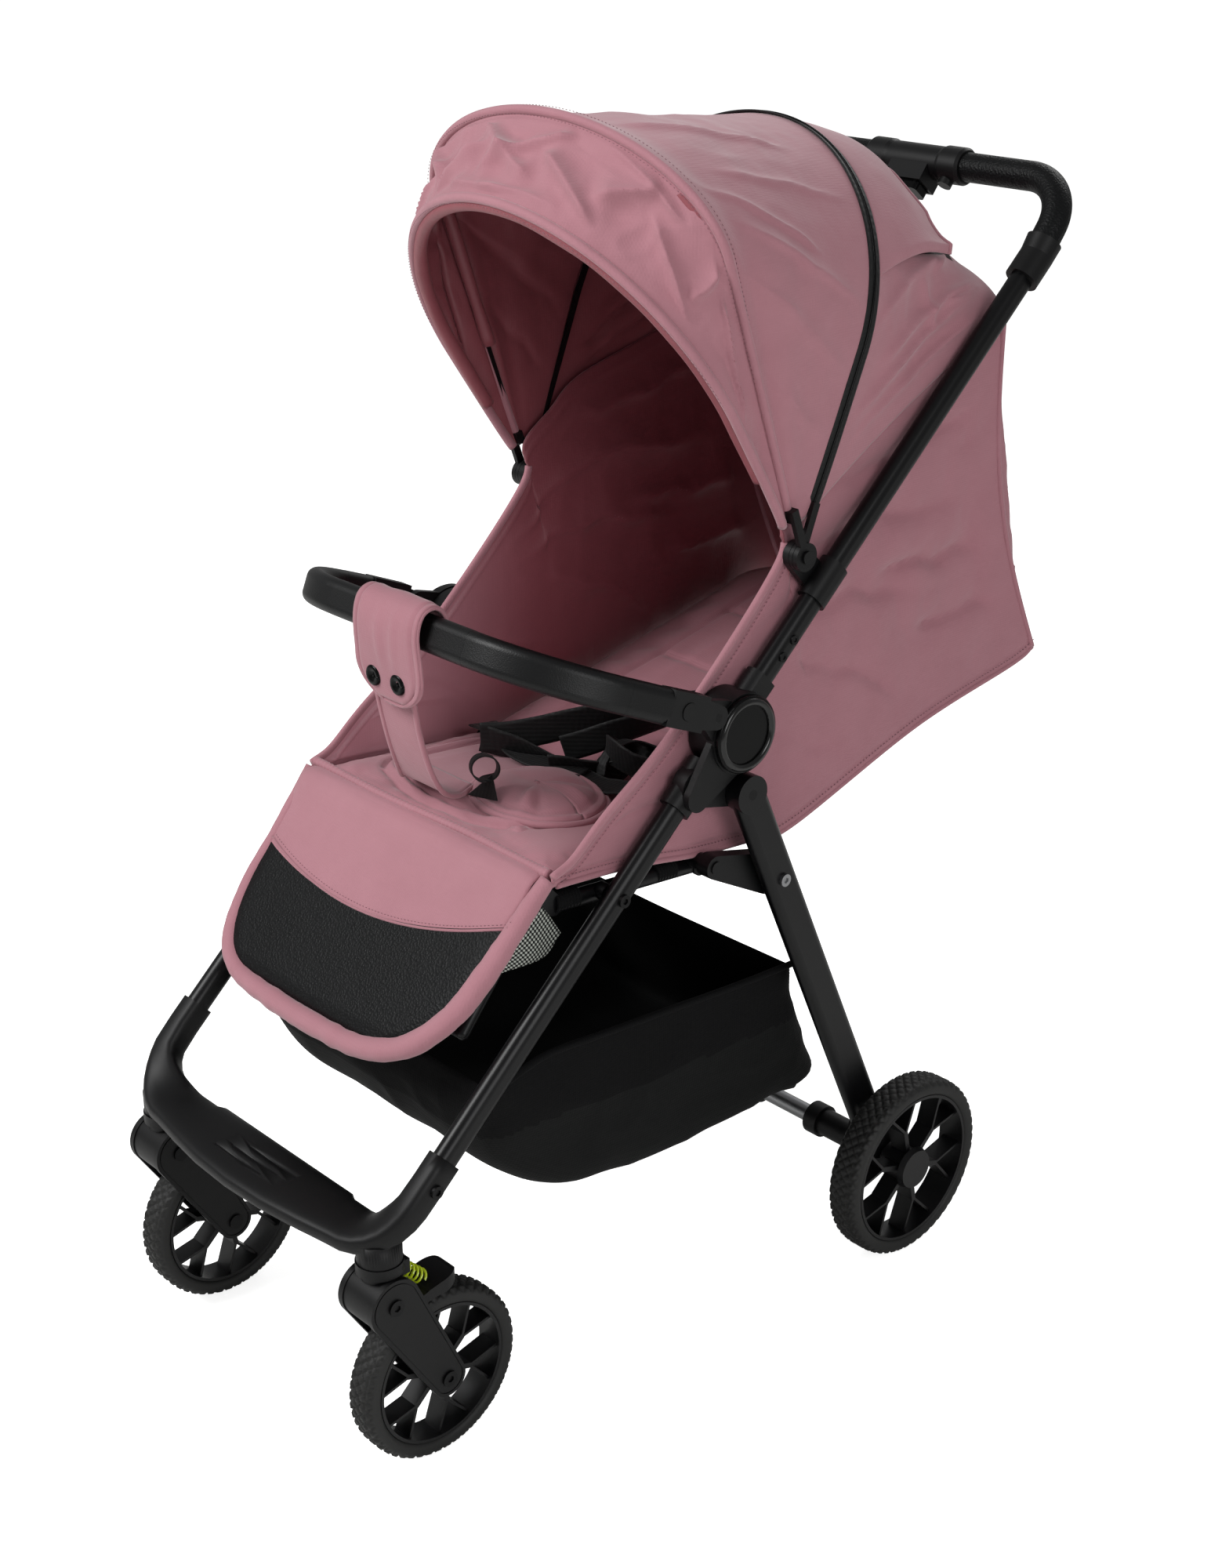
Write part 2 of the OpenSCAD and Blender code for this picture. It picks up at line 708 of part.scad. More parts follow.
module caster_post(s) {
  color("#1b1c1e") at_front(s) difference() {
    union() {
      pin(susp_at, arm_top_r - 1, -arm_in + run_gap * 6, arm_in - run_gap * 6);
      translate([0, -trail, susp_z]) cylinder(h = arm_top_r + 2, r = arm_in - 0.5);
      translate([0, -trail, susp_z + arm_top_r + 1])
        cylinder(h = post_top - front_r - susp_z - arm_top_r - 1.5, r = swivel_r);
      translate([0, -trail, susp_z]) cylinder(h = stem_top - front_r - susp_z, r = stem_r);
      translate([-9, -trail, spring_seat[1] - 4]) cube([18, trail + spring_seat[0] + 5, 14]);
    }
    pin(susp_at, bolt_r + run_gap, -100, 100);
    // The pocket that holds the spring's upper end
    run(0, spring_foot, spring_seat) circle(spring_r + 0.6);
  }
}

module caster_arms(s) {
  color("#1b1c1e") at_front(s) difference() {
    union() {
      for (i = [-1, 1]) scale_x(i) plate(arm_in, arm_out) strap(susp_at, arm_top_r, [0, 0], arm_foot_r);
      // The bridge over the tyre carries the spring and ends in a guard
      plate(-arm_in - 1, arm_in + 1) intersection() {
        difference() {
          circle(front_r + 13);
          circle(front_r + 3);
        }
        polygon([[0, 0], polar([0, 0], 150, 113), polar([0, 0], 150, 90)]);
      }
      intersection() {
        plate(-arm_in - 1, arm_in + 1) difference() {
          strap([-12, front_r + 6], 7, [16, front_r + 12], 6);
          circle(front_r + 3);
        }
        translate([0, 22 - arm_in, 0]) {
          cylinder(h = 200, r = arm_in + 0.8);
          translate([-arm_out, -60, 0]) cube([2 * arm_out, 60, 200]);
        }
      }
    }
    for (i = [-1, 1]) scale_x(i) translate([arm_out - 0.8, 0, 0]) plate(0, 5) difference() {
      strap(susp_at, arm_top_r - 3, [0, 0], arm_foot_r - 3);
      strap(susp_at, arm_top_r - 4.2, [0, 0], arm_foot_r - 4.2);
    }
    for (p = [susp_at, [0, 0]]) pin(p, bolt_r, -100, 100);
    plate(-arm_in, arm_in) circle_at(susp_at, arm_top_r + 0.5);
  }
}

// The axle and the suspension's bolt, each with a head outside and a nut inside
module caster_bolts(s) {
  color("#2f3135") at_front(s) for (p = [susp_at, [0, 0]]) difference() {
    union() {
      pin(p, p == susp_at ? bolt_r : stub_r, -arm_in + 0.2, arm_in - 0.2);
      pin(p, bolt_r, -arm_out, arm_out);
      for (i = [-1, 1]) scale_x(i) pin(p, 7.5, arm_out, arm_out + 2);
    }
    translate([arm_out + 0.5, p[0], p[1]]) rotate([0, 90, 0]) cylinder(h = 5, r = 3.4, $fn = 6);
  }
}

// A coil as a swept ring of points
module caster_spring(s) {
  turns = 5;
  per_turn = 16;
  sides = 6;
  wire = 1.2;
  l = norm(spring_seat - spring_foot) - 2 * wire - 0.6;
  n = turns * per_turn;
  ring = [for (i = [0 : n]) [for (j = [0 : sides - 1])
    let (a = 360 * i / per_turn, r = spring_r - wire + wire * cos(360 * j / sides))
      [r * cos(a), r * sin(a), wire + 0.3 + l * i / n + wire * sin(360 * j / sides)]
  ]];
  faces = [
    for (i = [0 : n - 1], j = [0 : sides - 1])
      let (k = (j + 1) % sides, a = i * sides)
        each [[a + j, a + sides + j, a + sides + k], [a + j, a + sides + k, a + k]],
    for (j = [1 : sides - 2]) [0, j, j + 1],
    for (j = [1 : sides - 2]) [n * sides, n * sides + j + 1, n * sides + j]
  ];
  color("#c9d64a") at_front(s) translate([0, spring_foot[0], spring_foot[1]])
    rotate([atan2(spring_seat[1] - spring_foot[1], spring_seat[0] - spring_foot[0]) - 90, 0, 0])
      polyhedron([for (p = ring) each p], faces);
}

// ---- Seat ------------------------------------------------------------------------------------

calf_pin = seat_front - [1, 17];
calf_r = 10;
calf_rod_r = 5.5;
calf_lift = 4;

module rod(x, a, b) run(x, a, b) circle(seat_rod_r);

module seat_frame() {
  color("#17181a") place() difference() {
    union() {
      both() {
        rod(seat_rod_x, frame_front, frame_back);
        pin(seat_pin, boss_r, pad_x + soft_gap, tube_in - side_gap);
        pin(link_seat, boss_r, pad_x + soft_gap, link_in - side_gap);
        plate(seat_rod_x - 5, seat_rod_x + 5) strap(calf_pin, boss_r, frame_front, boss_r + 1);
        plate(pad_x + soft_gap, seat_rod_x + seat_rod_r + 1) strap(back_pin, boss_r, frame_back, boss_r + 1);
      }
      pin(calf_pin, calf_rod_r, -seat_rod_x, seat_rod_x);
      pin(back_pin, pivot_r, -pad_x - 1, pad_x + 1);
      pin(frame_front, seat_rod_r - 0.5, -seat_rod_x, seat_rod_x);
      pin(frame_back, seat_rod_r - 0.5, -seat_rod_x, seat_rod_x);
    }
    both() pin(seat_pin, pivot_r + run_gap, seat_rod_x + 1, 300);
  }
}

module seat_pad() {
  color("#b8788a") place() plate(-pad_x, pad_x) strap(pad_a, pad_r, pad_b, pad_r);
}

// Each link turns on the rear leg and carries the seat at a riveted end
module seat_links() {
  color("#1b1c1e") place() both() difference() {
    union() {
      plate(link_in, link_in + link_t) strap(link_leg, 20, link_seat, 11);
      pin(link_seat, 6, link_in, link_in + link_t + 1.5);
    }
    pin(link_leg, pivot_r + run_gap, 0, 300);
  }
}

// The cloth walls between the handle tubes and the seat
module side_cloths() {
  color("#8e5668") place() both() plate(side_x, side_x + 2.2) difference() {
    polygon([
      seat_front + [10, 0], hood_pin - [8, 10], hood_pin + [6, 30], hood_end,
      mix(hood_end, hood_foot, 0.35) - [24, 0], mix(hood_end, hood_foot, 0.8) - [16, 0],
      hood_foot, back_pin + [4, -26], seat_pin + [30, -4], seat_front + [10, -24]
    ]);
    for (p = [seat_pin, link_seat]) circle_at(p, boss_r + side_gap);
  }
}

module backrest() {
  color("#b8788a") place() difference() {
    intersection() {
      plate(-pad_x, pad_x) strap(back_pin, pad_r, polar(back_pin, back_l - pad_r, back_slope), pad_r);
      translate([0, back_pin[0], back_pin[1]]) rotate([back_slope, 0, 0]) translate([0, 0, -100])
        linear_extrude(200) {
          translate([-pad_x, -50]) square([2 * pad_x, back_l + 50 - 60]);
          translate([0, back_l - 60]) round_rect(2 * pad_x, 120, 59);
        }
    }
    pin(back_pin, pivot_r + soft_gap, -pad_x - 1, pad_x + 1);
  }
}

// The leg rest hangs from the front of the seat; its pad has round lower corners
module on_calf() translate([0, calf_pin[0], calf_pin[1]]) rotate([calf_slope, 0, 0]) children();

module legrest_pad() {
  corner = 88;
  top = 14;
  barrel = 2 * (seat_rod_x - 5 - side_gap);
  color("#b8788a") place() on_calf() difference() {
    union() {
      rotate([0, 90, 0]) cylinder(h = barrel, r = calf_r, center = true);
      translate([0, 0, calf_lift - calf_r]) linear_extrude(2 * calf_r) {
        translate([-barrel / 2, -top - 1]) square([barrel, top + 1]);
        translate([-calf_w / 2, -calf_l + corner]) square([calf_w, calf_l - corner - top]);
        translate([0, -calf_l + corner]) round_rect(calf_w, 2 * corner, corner - 1);
      }
    }
    rotate([0, 90, 0]) cylinder(h = 2 * calf_w, r = calf_rod_r + soft_gap, center = true);
  }
}

module legrest_frame() {
  r = 6;
  low = -calf_l + 60;
  x = calf_w / 2 - 30;
  color("#17181a") place() on_calf() translate([0, low, calf_lift - calf_r - r - soft_gap]) {
    for (i = [-1, 1]) translate([i * x, 0, 0]) {
      rotate([-90, 0, 0]) cylinder(h = -low - 22, r = r);
      sphere(r);
    }
    rotate([0, 90, 0]) cylinder(h = 2 * x, r = r, center = true);
  }
}

// A point above the seat's pad
function over_seat(y, up) = pad_a + (y - pad_a[0]) / pad_dir[0] * pad_dir + (pad_r + up) * pad_up;

// Webbing that lies on the seat: two lap straps and the belt they join
module harness() {
  t = 1.2;
  color("#151517") place() {
    both() plate(43, 81) strap(over_seat(250, t + soft_gap), t, over_seat(306, t + soft_gap), t);
    plate(-70, 70) strap(over_seat(284, 3 * t + soft_gap), t, over_seat(300, 3 * t + soft_gap), t);
  }
}

module harness_buckle() {
  r = 7;
  color("#101012") place() difference() {
    plate(-21, 21) strap(over_seat(222, r + soft_gap), r, over_seat(240, r + soft_gap), r);
    on_buckle(4) cylinder(h = 20, r = buckle_r + soft_gap);
  }
}

buckle_r = 9;
buckle_travel = 2;
module on_buckle(up) translate([0, over_seat(231, up)[0], over_seat(231, up)[1]]) children();

module buckle_button() {
  color("#8d2b31") place() on_buckle(4 + buckle_travel + soft_gap) cylinder(h = 9, r = buckle_r);
}

// ---- Bumper bar ----------------------------------------------------------------------------------

module on_bumper() translate([0, bumper_pin[0], bumper_pin[1]]) rotate([-bumper_rise, 0, 0]) children();

// One half of the bar: an arm that leans in by the toe angle, a corner and half of the front.
// The arm and the front are a hair fuller than the corner they run into
module bumper_half(t, h) {
  arm = (bumper_arm - end_l) / cos(bumper_toe) + t / 4;
  end = [bumper_x - (bumper_arm - end_l) * tan(bumper_toe), -bumper_arm];
  centre = end + bumper_bend * [-cos(bumper_toe), sin(bumper_toe)];
  translate([end[0], end[1], 0]) rotate(-bumper_toe) rotate([-90, 0, 0]) translate([0, 0, -lap])
    linear_extrude(arm + lap) oval(t + lap, h + lap);
  translate([centre[0], centre[1], 0]) rotate(-90) rotate_extrude(angle = 90 - bumper_toe)
    translate([bumper_bend, 0]) oval(t, h);
  translate([0, -bumper_reach, 0]) rotate([0, 90, 0]) linear_extrude(centre[0] + lap)
    rotate(90) oval(t + lap, h + lap);
}

module bumper_bar() color("#141517") place() on_bumper() difference() {
  both() bumper_half(bumper_t, bumper_h);
  // The arms end square, against the moulded ends
  translate([-bumper_out, -end_l, -bumper_h]) cube([2 * bumper_out, end_l, 2 * bumper_h]);
}

// A moulded end on each arm: its outer tongue turns on the knuckle's pin
module bumper_ends() {
  color("#1b1c1e") place() on_bumper() both() difference() {
    union() {
      plate(shell_out - side_gap + 0.5, bumper_out) strap([0, 0], lug_r - 2, [-end_l + 22, 0], bumper_h / 2);
      plate(shell_in, bumper_out) translate([-end_l + 0.5, -bumper_h / 2])
        square([end_l - lug_r - 3.5, bumper_h]);
    }
    pin([0, 0], bumper_pin_r + run_gap, 0, 300);
    pin([-button_at, 0], button_r + soft_gap, bumper_out - button_d, 300);
  }
}

module bumper_button(s) {
  color("#0f1012") place() scale_x(s) on_bumper()
    pin([-button_at, 0], button_r, bumper_out - button_d + button_travel + soft_gap, bumper_out + 0.8);
}

// A cloth sleeve over the middle of the bar, with a tongue below and the strap down to the seat
module on_cover(w) on_bumper() translate([-w / 2, -bumper_reach, 0])
  rotate([0, 90, 0]) linear_extrude(w) rotate(90) children();

module bumper_cover() {
  wrap = 3;
  color("#b8788a") place() difference() {
    union() {
      on_cover(cover_w) oval(bumper_t + 2 * wrap, bumper_h + 2 * wrap);
      plate(-cover_w / 2 + 4, cover_w / 2 - 4) strap(cover_low + [0, 4], 2, cover_low - [-3, 40], 2);
      plate(-strap_w / 2, strap_w / 2) {
        strap(cover_low + [3, -36], 2, strap_mid, 2);
        strap(strap_mid, 2, strap_foot, 2);
      }
    }
    on_cover(cover_w + 2) oval(bumper_t + 3 * lap, bumper_h + 3 * lap);
  }
}

// ---- Hood ------------------------------------------------------------------------------------------

// A bow is [its angle, where its straight sides end, its reach, its half width].
// Point i on it, in its own plane: up the left side, over the arch and down the right side
function bow_flat(b, i, foot = 0) =
  let (n = cloth_steps, m = side_steps, t = 180 * (i - m) / (n - 2 * m))
    i < m || i > n - m
      ? let (q = mix(foot / (b[1] - bow_foot_r), 1, min(i, n - i) / m))
          [(i < m ? 1 : -1) * mix(bow_foot_x, b[3], sqrt(q)), mix(bow_foot_r, b[1], q)]
      : [b[3] * cos(t), b[1] + (b[2] - b[1]) * sin(t)];
// The cloth starts above the moulded foot of the bow
function bow_row(b, lift) = [for (i = [0 : cloth_steps])
  let (p = bow_flat([b[0], b[1], b[2] + lift, b[3] + lift], i, bow_foot_l + 1.7))
    [p[0], hood_pin[0] + p[1] * cos(b[0]), hood_pin[1] + p[1] * sin(b[0])]];

main_bow = [main_a, 285, bow_reach, bow_x];
zip_bow = [zip_a, 185, bow_reach - 23, bow_x];
visor_bow = [visor_a, 165, bow_reach - 29, bow_x + 1];

function arch(i) = 180 * i / cloth_steps;

// Rows of cloth from one row of points to another, with a swell in the middle that may fade at the feet
function lerp_rows(a, b, rows, swell, fade = 0) = [for (j = [0 : rows])
  [for (i = [0 : cloth_steps]) mix(a[i], b[i], j / rows) + swell * sin(180 * j / rows) * pow(sin(arch(i)), fade)]];
function tail_row(lift) = [for (i = [0 : cloth_steps]) let (t = arch(i))
  [(hood_end_x + lift) * cos(t), hood_end[0] + lift * 0.4, hood_end[1] + (hood_crown + lift) * sin(t)]];
function foot_row(lift) = [for (i = [0 : cloth_steps])
  [(hood_end_x + lift) * cos(arch(i)), hood_foot[0] + lift, hood_foot[1]]];
function turned(b, a) = [b[0] + a, b[1], b[2], b[3]];
function shift(row, d) = [for (p = row) p + d];

seam = 0.1;
under = 1.6;
over = under + cloth_t;
top_swell = [0, 0, -5];
rear_swell = [0, 0, 9];
back_swell = [0, -27, 0];
back_drop = [0, 0, -0.6];

// Cloth between two bows
module bow_cloth(a, b, rows, swell)
  skin(lerp_rows(bow_row(a, over), bow_row(b, over), rows, swell, 0.6),
    lerp_rows(bow_row(a, under), bow_row(b, under), rows, swell, 0.6));

module hood_top_panel()
  color("#b8788a") place() bow_cloth(turned(zip_bow, seam), turned(main_bow, -seam), 5, top_swell);

module visor() color("#b8788a") place() bow_cloth(turned(main_bow, seam), visor_bow, 3, [0, 0, 0]);

module hood_rear_panel() {
  a = turned(zip_bow, -seam);
  color("#b8788a") place()
    skin(lerp_rows(bow_row(a, over), tail_row(cloth_t), 4, rear_swell),
      lerp_rows(bow_row(a, under), tail_row(0), 4, rear_swell));
}

module hood_back_panel() {
  color("#b8788a") place()
    skin(lerp_rows(shift(tail_row(cloth_t), back_drop), foot_row(cloth_t), 6, back_swell),
      lerp_rows(shift(tail_row(0), back_drop), foot_row(0), 6, back_swell));
}

// A bow: a flat strip in the plane of its arch, with an arm at each foot that turns on the hood's pin
module hood_bow(b, strip, x0, x1) {
  outer = [for (i = [0 : cloth_steps]) bow_flat(b, i)];
  inner = [for (i = [cloth_steps : -1 : 0]) bow_flat([b[0], b[1], b[2] - strip, b[3] - strip], i)];
  translate([0, hood_pin[0], hood_pin[1]]) rotate([b[0], 0, 0]) {
    translate([0, 0, -2]) linear_extrude(4) polygon(concat(outer, inner));
    both() difference() {
      union() {
        translate([x0, 0, 0]) rotate([0, 90, 0]) cylinder(h = x1 - x0, r = hinge_r);
        translate([x0, 0, -4]) cube([x1 - x0, bow_foot_r + bow_foot_l, 8]);
        translate([bow_foot_x - strip, bow_foot_r, -4]) cube([x1 - bow_foot_x + strip, bow_foot_l, 8]);
      }
      rotate([0, 90, 0]) cylinder(h = 600, r = pivot_r + run_gap, center = true);
    }
  }
}

module hood_rear_bow() color("#111214") place() hood_bow(zip_bow, 5, hinge_x + 0.5, hinge_x + 4.5);
module hood_main_bow() color("#111214") place() hood_bow(main_bow, 5, hinge_x + 5, hinge_x + 10);

module hood_brackets() {
  foot = hub_along + hood_back * cos(rake) + hood_up * sin(rake);
  color("#1b1c1e") place() both() {
    difference() {
      union() {
        run(tube_x, on_line(foot - 20), on_line(foot + 20)) oval(tube_w + 6, tube_d + 6);
        plate(hinge_x - 7, hinge_x) strap(on_line(foot), 13, hood_pin, hinge_r);
      }
      run(tube_x, on_line(foot - 90), on_line(foot + 90)) oval(tube_w, tube_d);
    }
    pin(hood_pin, pivot_r, hinge_x, hinge_x + 11.5);
    pin(hood_pin, 6, hinge_x + 10.5, hinge_x + 12.5);
  }
}

// ---- Basket ------------------------------------------------------------------------------------------

// The tub's points on one side, as [y, z, half width]: a rim above and a rounded floor
rim_x = tube_in - soft_gap;
floor_x = tube_in - 27;
basket_lift = 176 - basket_d;
basket_rear = 140 + basket_l;
basket_back_z = 332;
basket_rim = [[68, 338, rim_x], [134, 352, rim_x], [basket_rear, basket_back_z, rim_x]];
basket_tab = [18, 16];
basket_floor = [
  [61, 298, rim_x - 8], [89, 244, floor_x],
  [152, 194 + basket_lift, floor_x], [246, 170 + basket_lift, floor_x],
  [basket_rear, 165 + basket_lift, floor_x], [basket_rear + 68, 172 + basket_lift, rim_x - 6]
];

module basket_block(cut, lift) {
  mid = 260;
  hull() both() {
    for (p = basket_rim)
      translate([p[2] - cut - 1, p[0] - cut * sign(p[0] - mid), p[1] + lift]) cube([1, 1, 1]);
    for (p = basket_floor)
      translate([p[2] - cut - 1, p[0] - cut * sign(p[0] - mid), p[1] + cut]) cube([1, 1, 1]);
  }
}

// The tub hangs on the front legs, and on a tab at each rear leg
module basket() {
  color("#1a1b1d") place() {
    difference() {
      basket_block(0, 0);
      basket_block(2.5, 3);
    }
    both() plate(rim_x - 2, leg_in - soft_gap) 
      translate([basket_rear - basket_tab[0], basket_back_z - basket_tab[1] - 2]) square(basket_tab);
  }
}

// ---- Nodes ----

front_leg(LEFT);  // front_leg_left
front_leg(RIGHT);  // front_leg_right
front_crossbar();
hub_housings();
hub_caps();
hub_pins();
frame_screws();
basket();
handle_tube(LEFT);  // handle_tube_left
handle_tube(RIGHT);  // handle_tube_right
handle_hubs();
handle_sleeves();
handlebar();
handle_grips();
fold_housing();
fold_trigger();
hood_brackets();
hood_rear_panel();
hood_back_panel();
tube_rivets();
rear_leg(LEFT);  // rear_leg_left
rear_leg(RIGHT);  // rear_leg_right
rear_axle();
axle_brackets();
brake_pedal();
rear_tyre(LEFT);  // rear_tyre_left
rear_rim(LEFT);  // rear_rim_left
rear_tyre(RIGHT);  // rear_tyre_right
rear_rim(RIGHT);  // rear_rim_right
caster_post(LEFT);  // caster_post_left
caster_arms(LEFT);  // caster_arms_left
caster_bolts(LEFT);  // caster_bolts_left
caster_spring(LEFT);  // caster_spring_left
front_tyre(LEFT);  // front_tyre_left
front_rim(LEFT);  // front_rim_left
caster_post(RIGHT);  // caster_post_right
caster_arms(RIGHT);  // caster_arms_right
caster_bolts(RIGHT);  // caster_bolts_right
caster_spring(RIGHT);  // caster_spring_right
front_tyre(RIGHT);  // front_tyre_right
front_rim(RIGHT);  // front_rim_right
seat_frame();
seat_pad();
seat_links();
side_cloths();
harness();
backrest();
legrest_frame();
legrest_pad();
bumper_bar();
bumper_ends();
bumper_cover();
bumper_button(LEFT);  // bumper_button_left
bumper_button(RIGHT);  // bumper_button_right
hood_rear_bow();
hood_main_bow();
hood_top_panel();
visor();
harness_buckle();
buckle_button();
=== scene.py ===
# %% [markdown]
# # A folding baby stroller, dressed
# The CAD gives every rigid piece its true shape. This file adds what CAD shows only as plain
# solids: the sewn hood, the padded seat, the webbing, the basket and the tyres' tread. It also
# gives each material its finish. Lengths are in millimetres, measured from the front axle as in
# the CAD, and one function turns them into the metres of the shared frame.

# %% Load the frame
import json
import math

import bmesh
import bpy
import numpy as np
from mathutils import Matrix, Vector
from mathutils.bvhtree import BVHTree


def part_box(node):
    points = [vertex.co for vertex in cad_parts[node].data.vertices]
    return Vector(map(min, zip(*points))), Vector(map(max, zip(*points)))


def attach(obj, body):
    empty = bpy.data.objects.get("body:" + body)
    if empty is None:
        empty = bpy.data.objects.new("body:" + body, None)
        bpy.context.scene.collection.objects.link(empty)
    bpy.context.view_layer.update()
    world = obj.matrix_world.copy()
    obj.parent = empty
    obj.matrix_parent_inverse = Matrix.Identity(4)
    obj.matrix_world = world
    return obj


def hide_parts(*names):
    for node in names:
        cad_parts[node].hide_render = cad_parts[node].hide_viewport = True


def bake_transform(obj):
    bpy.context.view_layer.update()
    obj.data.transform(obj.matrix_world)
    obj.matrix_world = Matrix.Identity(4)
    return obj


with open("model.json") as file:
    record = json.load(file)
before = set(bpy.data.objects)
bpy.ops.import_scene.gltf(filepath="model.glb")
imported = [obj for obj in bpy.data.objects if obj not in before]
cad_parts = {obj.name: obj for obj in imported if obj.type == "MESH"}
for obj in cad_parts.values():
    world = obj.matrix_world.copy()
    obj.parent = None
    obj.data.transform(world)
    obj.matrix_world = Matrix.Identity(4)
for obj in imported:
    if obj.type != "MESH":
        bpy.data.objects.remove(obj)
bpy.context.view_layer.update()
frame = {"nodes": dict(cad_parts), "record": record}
JOINTS = {joint["name"]: joint for joint in frame["record"]["behaviour"]["joints"]}
AXLE_Y = JOINTS["front_wheel_left_spin"]["pos_m"][1] * 1000


def in_frame(points):
    """Millimetres from the front axle, as metres in the shared frame."""
    return (np.asarray(points, float) + (0, AXLE_Y, 0)) / 1000


def from_frame(points):
    """Metres in the shared frame, as millimetres from the front axle."""
    return np.asarray(points, float) * 1000 - (0, AXLE_Y, 0)


def joint_at(name):
    """A joint's place as [y, z] in millimetres from the front axle."""
    return from_frame(JOINTS[name]["pos_m"])[1:]


# %% [markdown]
# ## The camera
# A stroller is best seen from a little above, off its front corner. A wide lens close by would
# make the near wheel loom, so a short telephoto lens stands further off. The camera is aimed by
# its angle round the stroller and its angle above the floor, and then rolled a little to level it.

# %% Camera
LENS = 53.56
AZIMUTH, ELEVATION, ROLL = (math.radians(angle) for angle in (47.67, 23.08, -0.15))
CAMERA_AT = in_frame((1517.0, -1024.0, 1359.6))
scene = bpy.context.scene
camera = bpy.data.objects.new("camera", bpy.data.cameras.new("camera"))
camera.data.lens = LENS
camera.location = CAMERA_AT
flat = math.cos(ELEVATION)
away = Vector((math.sin(AZIMUTH) * flat, -math.cos(AZIMUTH) * flat, math.sin(ELEVATION)))
level, rolled = Vector((1, 0, 0)), Vector((math.cos(ROLL), math.sin(ROLL), 0))
camera.rotation_mode = "QUATERNION"
camera.rotation_quaternion = (-away).to_track_quat("-Z", "Y") @ level.rotation_difference(rolled)
scene.collection.objects.link(camera)
scene.camera = camera
scene.view_settings.view_transform = "Standard"
print("camera at", [round(float(value), 3) for value in CAMERA_AT])

# %% [markdown]
# ## Materials
# Every finish starts from what the real material is. Swatches give colours as sRGB, but Blender
# mixes light in linear values, so one function turns the first into the second. One small
# function adds a node with its settings and links, so each material reads as a short recipe.


# %% Colour and node helpers
def linear(code):
    """An sRGB hex colour as linear RGBA."""
    channels = [int(code[i : i + 2], 16) / 255 for i in (1, 3, 5)]
    return [c / 12.92 if c <= 0.04045 else ((c + 0.055) / 1.055) ** 2.4 for c in channels] + [1]


def plug(tree, node, links):
    """Sets a node's sockets, each to a value or to another node's output."""
    for socket, value in links.items():
        if isinstance(value, bpy.types.NodeSocket):
            tree.links.new(value, node.inputs[socket])
        else:
            node.inputs[socket].default_value = value
    return node


def add(tree, kind, links=None, **settings):
    """Adds a shader node with its settings and links."""
    node = tree.nodes.new("ShaderNode" + kind)
    for name, value in settings.items():
        setattr(node, name, value)
    return plug(tree, node, links or {})


def start(name, rough, metal=0.0, **sockets):
    """A material with its Principled shader, and the object's own coordinates."""
    material = bpy.data.materials.new(name)
    material.use_nodes = True
    tree = material.node_tree
    shader = tree.nodes["Principled BSDF"]
    own = {socket.replace("_", " "): value for socket, value in sockets.items()}
    plug(tree, shader, {"Roughness": rough, "Metallic": metal, **own})
    return material, tree, shader, add(tree, "TexCoord").outputs["Object"]


def mottled(tree, place, low, high, size_mm, shader):
    """Base colour that drifts between two hex colours over patches of that size."""
    noise = add(tree, "TexNoise", {"Vector": place, "Scale": 1000 / size_mm, "Detail": 3.0})
    ends = {6: linear(low), 7: linear(high)}
    mix = add(tree, "Mix", {0: noise.outputs["Fac"], **ends}, data_type="RGBA")
    plug(tree, shader, {"Base Color": mix.outputs[2]})
    return noise


# %% [markdown]
# ### Hard black pieces
# Powder-coated aluminium tube is sprayed as dry powder and baked, which leaves a satin skin with
# a faint orange peel of about 2 mm. Mouldings have a finer grain, about 1 mm, from their etched
# mould. A picture of each surface would need a flat layout for each piece. Noise in the object's
# own coordinates needs none, so one recipe serves them all: a black that drifts a little, a
# roughness that drifts with it where hands have polished it, and a bump for the grain.


# %% Hard black materials
WEAR = 0.06


def hard_black(name, low, high, rough, grain_mm, depth_mm, patch_mm=60, **sockets):
    """A dark hard finish from its two colours, its roughness and its grain's size and depth."""
    material, tree, shader, place = start(name, rough, **sockets)
    patches = mottled(tree, place, low, high, patch_mm, shader).outputs["Fac"]
    worn = add(tree, "MapRange", {"Value": patches, "To Min": rough - WEAR, "To Max": rough + WEAR})
    grain = add(tree, "TexNoise", {"Vector": place, "Scale": 1000 / grain_mm, "Detail": 2.0})
    height = {"Height": grain.outputs["Fac"], "Distance": depth_mm / 1000, "Strength": 0.5}
    relief = add(tree, "Bump", height)
    plug(tree, shader, {"Roughness": worn.outputs["Result"], "Normal": relief.outputs["Normal"]})
    return material


# Satin tubes, which show a soft bright line along their length
powder_coat = hard_black(
    "powder_coated_aluminium", "#030304", "#08080a", 0.33, 2.0, 0.06, Specular_IOR_Level=0.26
)
# Dull mouldings, which show only broad soft highlights
moulded_nylon = hard_black(
    "moulded_nylon", "#060607", "#0c0c0d", 0.46, 0.9, 0.12, Specular_IOR_Level=0.26
)
# Smooth caps, deep black between sharp glints
gloss_abs = hard_black("polished_abs", "#020202", "#060607", 0.24, 6.0, 0.02, Specular_IOR_Level=0.14)
# Wheels, between the two
wheel_pp = hard_black(
    "moulded_polypropylene", "#030304", "#08080a", 0.42, 1.2, 0.08, Specular_IOR_Level=0.35
)
# Pins and screws: dark metal with a dim, broad shine
blackened_steel = hard_black("blackened_steel", "#0e0e0f", "#171718", 0.38, 1.5, 0.03, metal=0.7)
